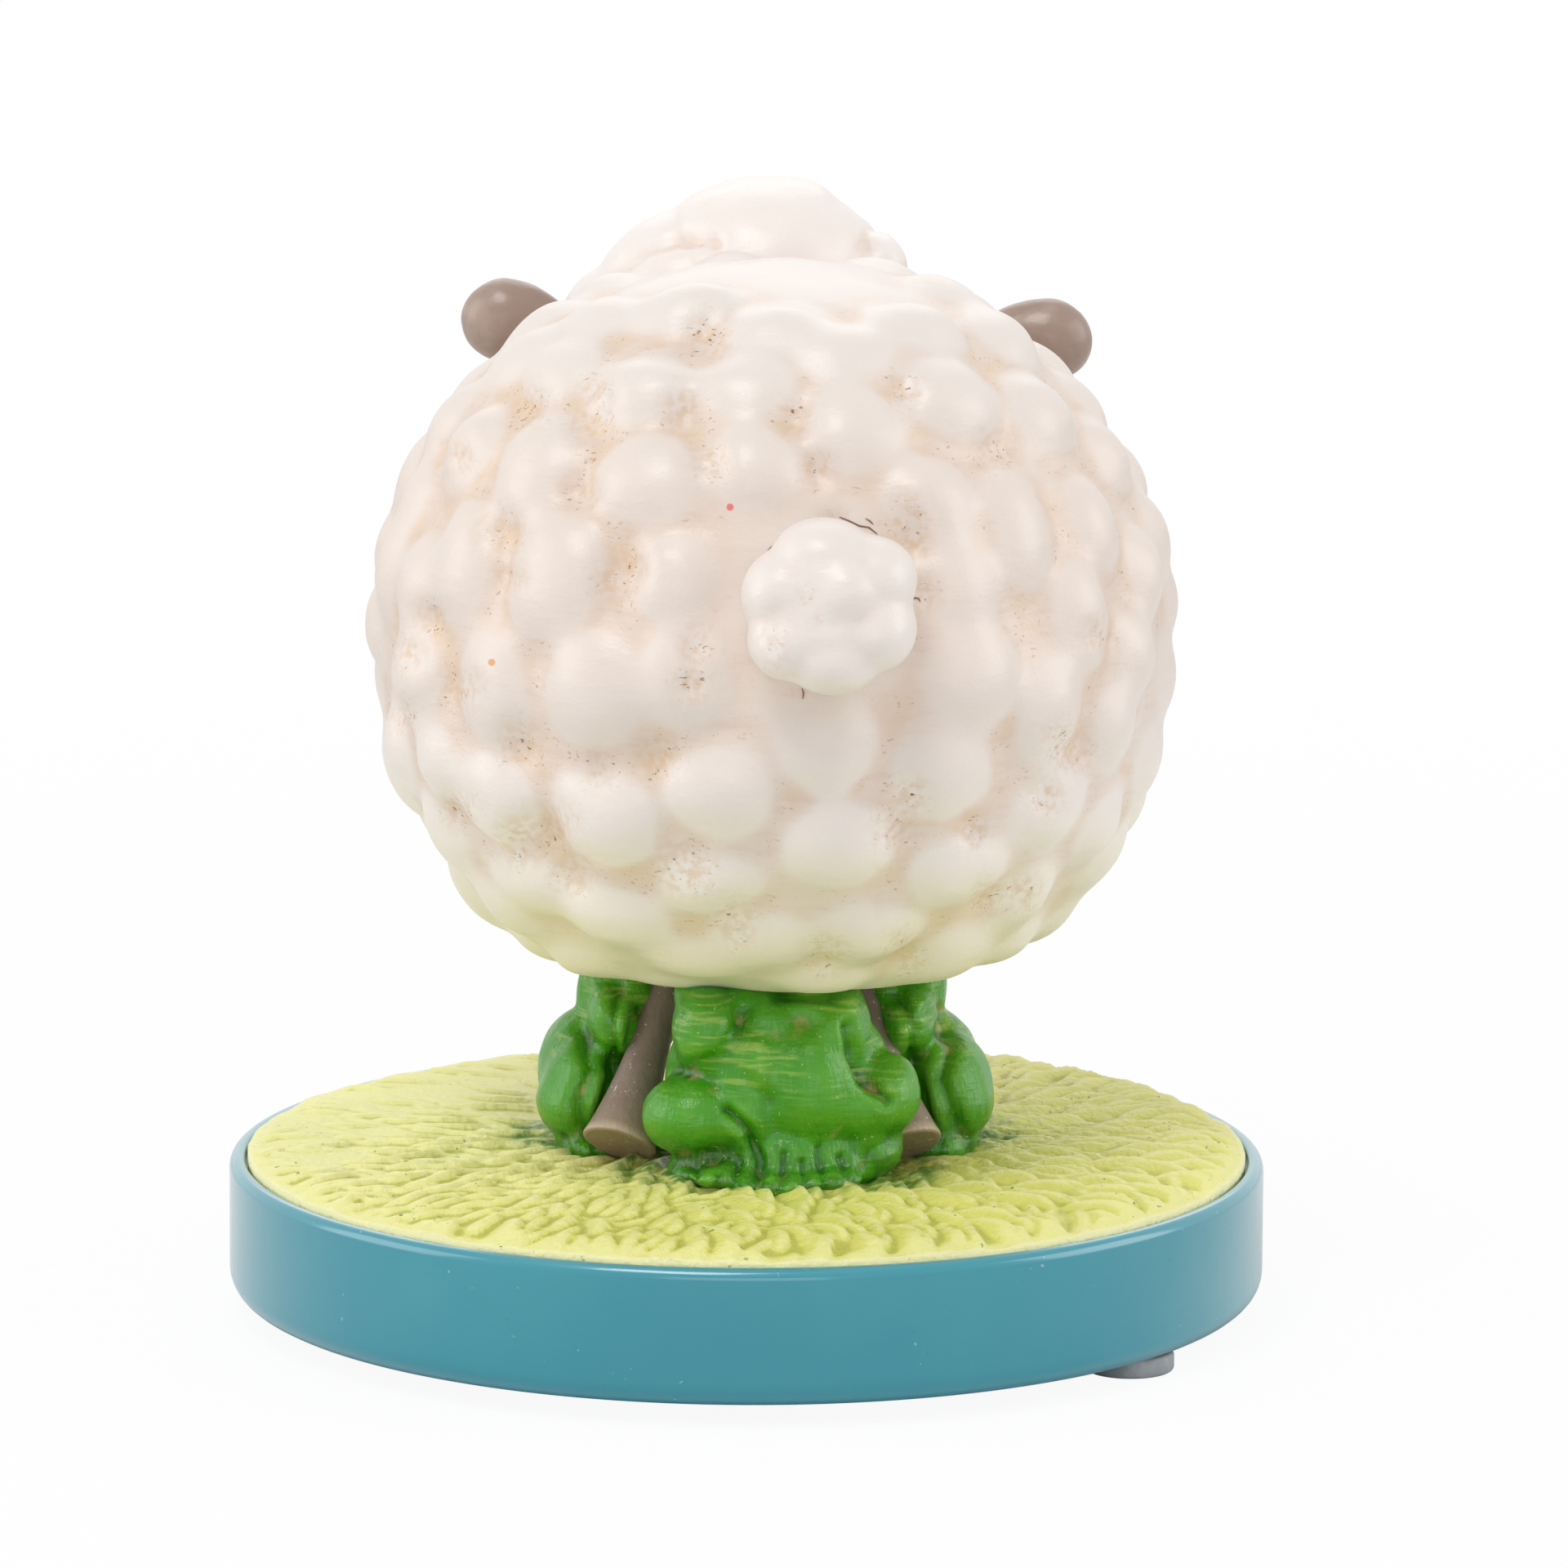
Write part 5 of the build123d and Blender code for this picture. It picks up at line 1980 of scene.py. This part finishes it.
@dataclass
class Tail:
    """Pom of soft lobes, glued to the back of the fleece."""

    ball_centre: Triple = (-2.4, -4.0, 68.2)
    offset: Pair = (-5.0, 9.4)
    ball_radius: float = 39.3
    stand_off: float = 4.0
    # Core and root behind the lobes: how far out each lies, and its half sizes
    core_out: float = 0.2
    core_half: Triple = (7.3, 5.8, 7.3)
    root_out: float = 1.2
    root_half: Triple = (6.8, 3.0, 6.8)
    voxel: float = 0.26
    soften: int = 76
    folds: Folds = Folds(0.5, 6.5, 12)
    fold_seed: float = 8.0
    # Lobes read off the photograph
    seen: tuple[SeenLump, ...] = (
        SeenLump(1008, 682, 64, 50, 36.8, 5.4), SeenLump(1070, 708, 54, 54, 37.2, 5.4),
        SeenLump(1072, 770, 52, 54, 38.4, 5.4), SeenLump(1020, 802, 62, 51, 39, 5.2),
        SeenLump(964, 784, 50, 50, 38.6, 5.2), SeenLump(958, 728, 51, 58, 37.4, 5.2),
        SeenLump(1034, 724, 54, 50, 39.5, 4.7), SeenLump(1014, 774, 66, 42, 39.4, 4.7),
    )
    hollows: tuple[Groove, ...] = (
        Groove(((978, 706), (988, 730), (976, 744)), 18, 0.22),
        Groove(((946, 752), (942, 772), (948, 792)), 15, 0.3),
        Groove(((1060, 694), (1072, 728), (1058, 752)), 17, 0.15),
    )
    stains: tuple[Triple, ...] = ((942, 776, 20), (952, 806, 18), (987, 727, 12), (1001, 760, 10))
    # Dried glue that shows as dark hairs: pixel lines
    hairs: tuple[tuple[Pair, ...], ...] = (
        ((1028, 633), (1040, 638), (1052, 644), (1064, 646), (1074, 654)),
        ((1060, 635), (1065, 638), (1069, 642)), ((1116, 735), (1120, 732), (1125, 733), (1127, 737)),
        ((939, 681), (941, 674), (945, 669)), ((982, 843), (984, 849), (983, 856)),
        ((1066, 832), (1074, 822), (1084, 812)),
    )
    hair_radius: float = 0.08
    hair_lift_share: float = 0.6
    hair_tip_share: float = 0.5
    hair_sides: int = 8

    def seat(self) -> tuple[Vector, Vector]:
        """Finds where the tail is glued on.

        Returns:
            The root point on the ball and the outward direction.
        """
        x, z = self.offset
        out = Vector((x, math.sqrt(self.ball_radius**2 - x**2 - z**2), z))
        return Vector(self.ball_centre) + out, out.normalized()

    def build(self) -> None:
        """Builds and dresses the tail and the hair of dried glue round it."""
        root, outward = self.seat()
        middle = root + outward * self.stand_off
        lumps = [one.lump() for one in self.seen]
        lumps.append(Lump(tuple(middle + outward * self.core_out), self.core_half))
        lumps.append(Lump(tuple(root + outward * self.root_out), self.root_half))
        tail = fused("tail_pom", lumps, self.voxel, self.soften)
        press(tail, self.hollows, 20.0)
        paint = FleecePaint(name="tail_acrylic", base="#EFE8E3", wash=0.5, foot=(74.0, 69.5)).make()
        FoldCarving().work(tail, self.folds, self.fold_seed, paint)
        mark_stains(tail, self.stains)
        hand_over(tail, "fleece_paint", "tail")
        self.build_hairs()

    def build_hairs(self) -> None:
        """Hairs of dried glue, laid on the fleece where the photograph shows them."""
        graph = bpy.context.evaluated_depsgraph_get()
        skin = BVHTree.FromObject(bpy.data.objects["fleece_tufted"], graph)
        brown = BeadEnamel("dried_glue_hair", 0.45, tone="#7A5A40", bloom="#957252").make()
        start = PHOTO.place() * MM
        for number, pixels in enumerate(self.hairs):
            line = []
            for across, down in pixels:
                met, normal, _, _ = skin.ray_cast(start, PHOTO.ray(across, down))
                line.append(met / MM + normal * self.hair_lift_share * self.hair_radius)
            radii = [self.hair_radius] * len(line)
            radii[0] = radii[-1] = self.hair_radius * self.hair_tip_share
            hair = swept(f"glue_hair_{number}", line, radii, self.hair_sides)
            hand_over(hair, "fleece_paint", paint=brown)


@dataclass
class Head:
    """Skull and muzzle with a calm sheep's face, a wool cap and two ears."""

    skull: Triple = (-2.6, -34.0, 93.0)
    voxel: float = 0.3
    soften: int = 14
    # Lumps of the face, set off from the skull; those of a side are mirrored
    face_lumps: tuple[Lump, ...] = (
        Lump((0, 0, 0), (12.2, 12, 12.4)), Lump((0, -6.4, -1), (8.6, 5.8, 6.4)),
        Lump((0, -8.4, -7.2), (6.4, 6.6, 8.6), pitch=-18), Lump((0, -10.8, -12.2), (5.2, 5.4, 4.9)),
        Lump((0, -8, -15.6), (4, 4.9, 3)),
    )
    side_lumps: tuple[Lump, ...] = (
        Lump((5.4, -5.2, -6.8), (4.7, 6.2, 6.6), 14), Lump((5.6, -9.6, -0.6), (2.8, 2.2, 1.6), 14),
        Lump((2.3, -14.4, -11.2), (2.3, 1.7, 1.9)),
    )
    face_folds: Folds = Folds(0.3, 5.0, 14)
    eye_side: float = 5.9
    eye_height: float = 90.2
    eye_sink: float = 0.55
    eye_half: Triple = (1.6, 1.6, 1.8)
    eye_voxel: float = 0.12
    # Each line on the face: its steps, how far it stands out, and least and added radius
    lid_half: Pair = (1.85, 1.9)
    lid_lift: float = 0.1
    lid_turns: Pair = (200.0, 220.0)
    lid_line: LineSizes = (12, -0.12, 0.22, 0.36)
    nostril_side: Pair = (1.2, 1.5)
    nostril_level: Triple = (81.4, 1.0, 0.9)
    nostril_line: LineSizes = (6, 0.12, 0.16, 0.3)
    mouth_half: float = 3.6
    mouth_level: Pair = (77.6, 1.1)
    mouth_drawn: LineSizes = (20, 0.1, 0.1, 0.18)

    cap_seen: tuple[SeenLump, ...] = (
        SeenLump(934, 330, 144, 114, -30, 12.5), SeenLump(968, 332, 92, 115, -30, 11),
        SeenLump(852, 372, 126, 118, -29, 10.5), SeenLump(784, 414, 104, 100, -29, 9),
        SeenLump(1016, 352, 84, 80, -30, 9.5), SeenLump(1074, 330, 38, 46, -27.5, 5),
        SeenLump(1084, 384, 44, 62, -29, 7.5),
    )
    cap_marks: tuple[Groove, ...] = (
        Groove(((758, 330), (790, 306), (830, 292), (872, 296)), 13, 0.9),
        Groove(((1060, 300), (1080, 318)), 12, 0.4),
    )
    cap_core: Lump = Lump((0.0, 2.0, 4.0), (13.0, 13.0, 13.6))
    cap_voxel: float = 0.36
    cap_folds: Folds = Folds(0.6, 6.0, 16)
    # Rings of curls towards the face: level, number and distance from the middle
    curl_rings: tuple[tuple[float, int, float], ...] = ((10.6, 5, 8.4), (5.6, 6, 11.6), (13.6, 3, 4.4))
    curl_turns: Pair = (-160.0, 140.0)
    curl_jitter: float = 5.0
    curl_half: Pair = (3.4, 4.3)
    curl_back: float = 1.0
    curl_squash: float = 0.95
    curl_seed: int = 4
    # Stations of an ear: distance from the middle, share of its droop, and radius
    ear_stations: tuple[Triple, ...] = (
        (8.0, 1.0, 1.5), (14.0, 1.0, 1.5), (18.0, 0.95, 1.55), (21.5, 0.8, 1.8), (23.5, 0.6, 2.4),
        (25.3, 0.35, 3.45), (26.8, 0.1, 4.15), (28.0, 0.0, 4.4), (28.7, 0.0, 4.0),
    )
    ear_droop: dict[Side, float] = field(default_factory=lambda: {Side.LEFT: -0.3, Side.RIGHT: 1.3})
    ear_rise: float = 2.9
    ear_tilt: float = 0.9
    ear_back: float = 4.0
    ear_flat: float = 0.85
    ear_parts: int = 3
    ear_voxel: float = 0.26
    ear_soften: int = 10
    ear_folds: Folds = Folds(0.25, 4.0, 10)

    def build(self) -> None:
        """Builds and dresses the head."""
        skin = FacePaint().make()
        folds = FoldCarving()
        self.build_face(skin, folds)
        self.build_cap(folds)
        for side in Side:
            self.build_ear(side, skin, folds)

    def build_face(self, skin: Material, folds: FoldCarving) -> None:
        """Casting of skull, muzzle and cheeks, with eyes, nostrils and mouth.

        Args:
            skin: the skin's material.
            folds: what works its folds.
        """
        lumps = [lump.moved(self.skull) for lump in self.face_lumps]
        lumps += [lump.moved(self.skull, side) for side in (1, -1) for lump in self.side_lumps]
        head = fused("head_cast", lumps, self.voxel, self.soften)
        folds.work(head, self.face_folds, 1.0, skin)
        hand_over(head, "face_paint", "head")
        self.build_features(BVHTree.FromObject(head, bpy.context.evaluated_depsgraph_get()), skin)

    def front(self, face: BVHTree, x: float, z: float) -> Vector:
        """Point of the face seen from straight in front at a place, in millimetres."""
        return face.ray_cast(Vector((x, -90.0, z)) * MM, Vector((0, 1, 0)))[0] / MM

    def draw_line(
        self, name: str, face: BVHTree, places: Sequence[Pair], drawn: LineSizes, bow: Pair,
        paint: Material, sides: int = 10,
    ) -> None:
        """Lays a painted line on the face, thicker along its middle.

        Args:
            name: the piece's name.
            face: the face's surface.
            places: X and Z of each of its points.
            drawn: its steps, how far it stands out, and its least and added radius.
            bow: start and run of the half wave that its thickness follows.
            paint: its material.
            sides: how many sides it has.
        """
        steps, out, least, added = drawn
        line = [Vector((x, self.front(face, x, z).y + out, z)) for x, z in places]
        radii = [
            least + added * math.sin(math.pi * (bow[0] + bow[1] * step / steps))
            for step in range(steps + 1)
        ]
        hand_over(swept(name, line, radii, sides), "face_paint", paint=paint)

    def build_features(self, face: BVHTree, skin: Material) -> None:
        """Eyes with lids, nostrils and mouth, each set on the face.

        Args:
            face: the face's surface.
            skin: the skin's material.
        """
        dark = BeadEnamel().make()
        line = BeadEnamel("satin_line_enamel", 0.4, tone="#4A3833", bloom="#5C4640").make()
        x = self.skull[0]
        for side in (1, -1):
            at = self.front(face, x + side * self.eye_side, self.eye_height)
            ball = Lump(tuple(at + Vector((0, self.eye_sink, 0))), self.eye_half)
            hand_over(fused(f"eye_{side + 1}", [ball], self.eye_voxel, 1), "face_paint", paint=dark)
            rim = []
            steps = self.lid_line[0]
            for step in range(steps + 1):
                turn = math.radians(self.lid_turns[0] - self.lid_turns[1] * step / steps)
                across = at.x + self.lid_half[0] * math.cos(turn)
                rim.append((across, at.z + self.lid_lift + self.lid_half[1] * math.sin(turn)))
            self.draw_line(f"lid_{side + 1}", face, rim, self.lid_line, (0, 1), skin, 12)
            slit = []
            steps = self.nostril_line[0]
            level, rise, sag = self.nostril_level
            for step in range(steps + 1):
                share = step / steps
                out = side * (self.nostril_side[0] + self.nostril_side[1] * share)
                slit.append((x + out, level + rise * share - sag * share * share))
            self.draw_line(f"nostril_{side + 1}", face, slit, self.nostril_line, (0.15, 0.75), line)
        smile = []
        steps = self.mouth_drawn[0]
        for step in range(steps + 1):
            share = step / (steps / 2) - 1
            level = self.mouth_level[0] + self.mouth_level[1] * share * share
            smile.append((x + self.mouth_half * share, level))
        self.draw_line("mouth_line", face, smile, self.mouth_drawn, (0, 1), line)

    def build_cap(self, folds: FoldCarving) -> None:
        """Topknot of wool: smooth behind, with curls towards the face.

        Args:
            folds: what works its folds.
        """
        x, y, z = self.skull
        lumps = [seen.lump() for seen in self.cap_seen]
        lumps.append(self.cap_core.moved(self.skull))
        chance = np.random.default_rng(self.curl_seed)
        start, sweep = self.curl_turns
        for level, number, out in self.curl_rings:
            for step in range(number):
                jitter = chance.uniform(-self.curl_jitter, self.curl_jitter)
                turn = math.radians(start + sweep * (step + 0.5) / number + jitter)
                size = chance.uniform(*self.curl_half)
                back = y + self.curl_back + out * math.sin(turn)
                place = (x + out * math.cos(turn), back, z + level)
                lumps.append(Lump(place, (size, size, size * self.curl_squash)))
        cap = fused("wool_cap_modelled", lumps, self.cap_voxel, self.soften)
        press(cap, self.cap_marks, -40.0)
        folds.work(cap, self.cap_folds, 6.0, FleecePaint("cap_acrylic", base="#F3EAE4", wash=0.6).make())
        hand_over(cap, "fleece_paint", "wool_cap")

    def build_ear(self, side: Side, skin: Material, folds: FoldCarving) -> None:
        """Egg shaped ear that droops from a narrow root.

        Args:
            side: the side that it is on.
            skin: the skin's material.
            folds: what works its folds.
        """
        x, y, z = self.skull
        rise = self.ear_rise + side.value * self.ear_tilt
        stations = [(out, share * self.ear_droop[side], size) for out, share, size in self.ear_stations]
        lumps = []
        for (out, up, size), (next_out, next_up, next_size) in zip(stations, stations[1:]):
            for part in range(self.ear_parts):
                share = part / self.ear_parts
                place = (
                    x + side.value * (out + (next_out - out) * share), y + self.ear_back,
                    z + rise + up + (next_up - up) * share,
                )
                half = size + (next_size - size) * share
                lumps.append(Lump(place, (half, half * self.ear_flat, half)))
        name = f"ear_{side.name.lower()}"
        ear = fused(f"{name}_cast", lumps, self.ear_voxel, self.ear_soften, 3)
        folds.work(ear, self.ear_folds, 5.0 + side.value, skin)
        hand_over(ear, "face_paint", name)


@dataclass
class Studio:
    """Pale floor, white surroundings and plain soft lights."""

    floor_half: float = 4.0
    # To the camera the floor is plain white by this share, and wholly beyond these distances
    plain_share: float = 0.93
    plain_reach: Pair = (180.0, 420.0)
    world_strength: float = 0.42
    # Each light: place in metres, size in metres, power in watts
    lights: tuple[tuple[Triple, float, float], ...] = (
        ((1.1, 0.05, 0.45), 0.8, 3.7), ((-1.1, 0.05, 0.45), 0.8, 4.3), ((0.25, 0.5, 1.15), 0.5, 5.6),
        ((0.0, 1.3, 0.12), 0.8, 2.6), ((0.0, -1.0, 0.8), 0.8, 2.0),
    )
    aim: Triple = (0.0, 0.0, 0.06)

    def build(self) -> None:
        """Builds the floor, the lights and the world."""
        half = self.floor_half / MM
        corners = [(-half, -half, 0), (half, -half, 0), (half, half, 0), (-half, half, 0)]
        floor = add_shape("floor", corners, [(0, 1, 2, 3)], smooth=False)
        floor.data.materials.append(self.floor_paper())
        for number, (place, size, power) in enumerate(self.lights):
            data = bpy.data.lights.new(f"softbox_{number}", "AREA")
            data.shape, data.size, data.energy = "SQUARE", size, power
            light = bpy.data.objects.new(f"softbox_{number}", data)
            bpy.context.scene.collection.objects.link(light)
            light.location = place
            light.visible_camera = False
            way = Vector(self.aim) - Vector(place)
            light.rotation_euler = way.to_track_quat("-Z", "Y").to_euler()
        world = bpy.data.worlds.new("white_surroundings")
        bpy.context.scene.world = world
        world.use_nodes = True
        tree = world.node_tree
        tree.nodes.clear()
        path = add_node(tree, "ShaderNodeLightPath")
        lit = add_node(
            tree, "ShaderNodeBackground", {"Color": (1.0, 1.0, 1.0, 1.0), "Strength": self.world_strength}
        )
        shown = add_node(tree, "ShaderNodeBackground", {"Color": (1.0, 1.0, 1.0, 1.0), "Strength": 1.0})
        seen = add_node(
            tree, MATHS, {0: path.outputs["Is Camera Ray"], 1: path.outputs["Is Glossy Ray"]},
            operation="MAXIMUM",
        )
        mixed = add_node(tree, "ShaderNodeMixShader", {0: seen, 1: lit, 2: shown})
        add_node(tree, "ShaderNodeOutputWorld", {"Surface": mixed})

    def floor_paper(self) -> Material:
        """White paper: to the camera it is mostly plain white, with a faint shadow."""
        paper = bpy.data.materials.new("white_backdrop_paper")
        paper.use_nodes = True
        tree = paper.node_tree
        tree.nodes.clear()
        path = add_node(tree, "ShaderNodeLightPath")
        ring = outer_ring(tree, *self.plain_reach)
        values = {0: ring, 1: 1 - self.plain_share, 2: self.plain_share}
        plain = add_node(tree, MATHS, values, operation="MULTIPLY_ADD")
        share = add_node(tree, MATHS, {0: path.outputs["Is Camera Ray"], 1: plain}, operation="MULTIPLY")
        matt = add_node(tree, "ShaderNodeBsdfDiffuse", {"Color": (0.9, 0.9, 0.9, 1.0)})
        white = add_node(tree, "ShaderNodeEmission", {"Color": (1.0, 1.0, 1.0, 1.0), "Strength": 1.0})
        mixed = add_node(tree, "ShaderNodeMixShader", {0: share, 1: matt, 2: white})
        add_node(tree, "ShaderNodeOutputMaterial", {"Surface": mixed})
        return paper


def main() -> None:
    """Builds the studio and every sub-assembly in order."""
    logging.basicConfig(level=logging.INFO, format="%(name)s: %(message)s")
    bpy.context.scene.view_settings.view_transform = "Standard"
    PHOTO.add()
    Studio().build()
    for assembly in (Base(), Turf(), Bushes(), Legs(), Fleece(), Tail(), Head()):
        LOG.info("building %s", type(assembly).__name__)
        assembly.build()


if __name__ == "__main__":
    main()
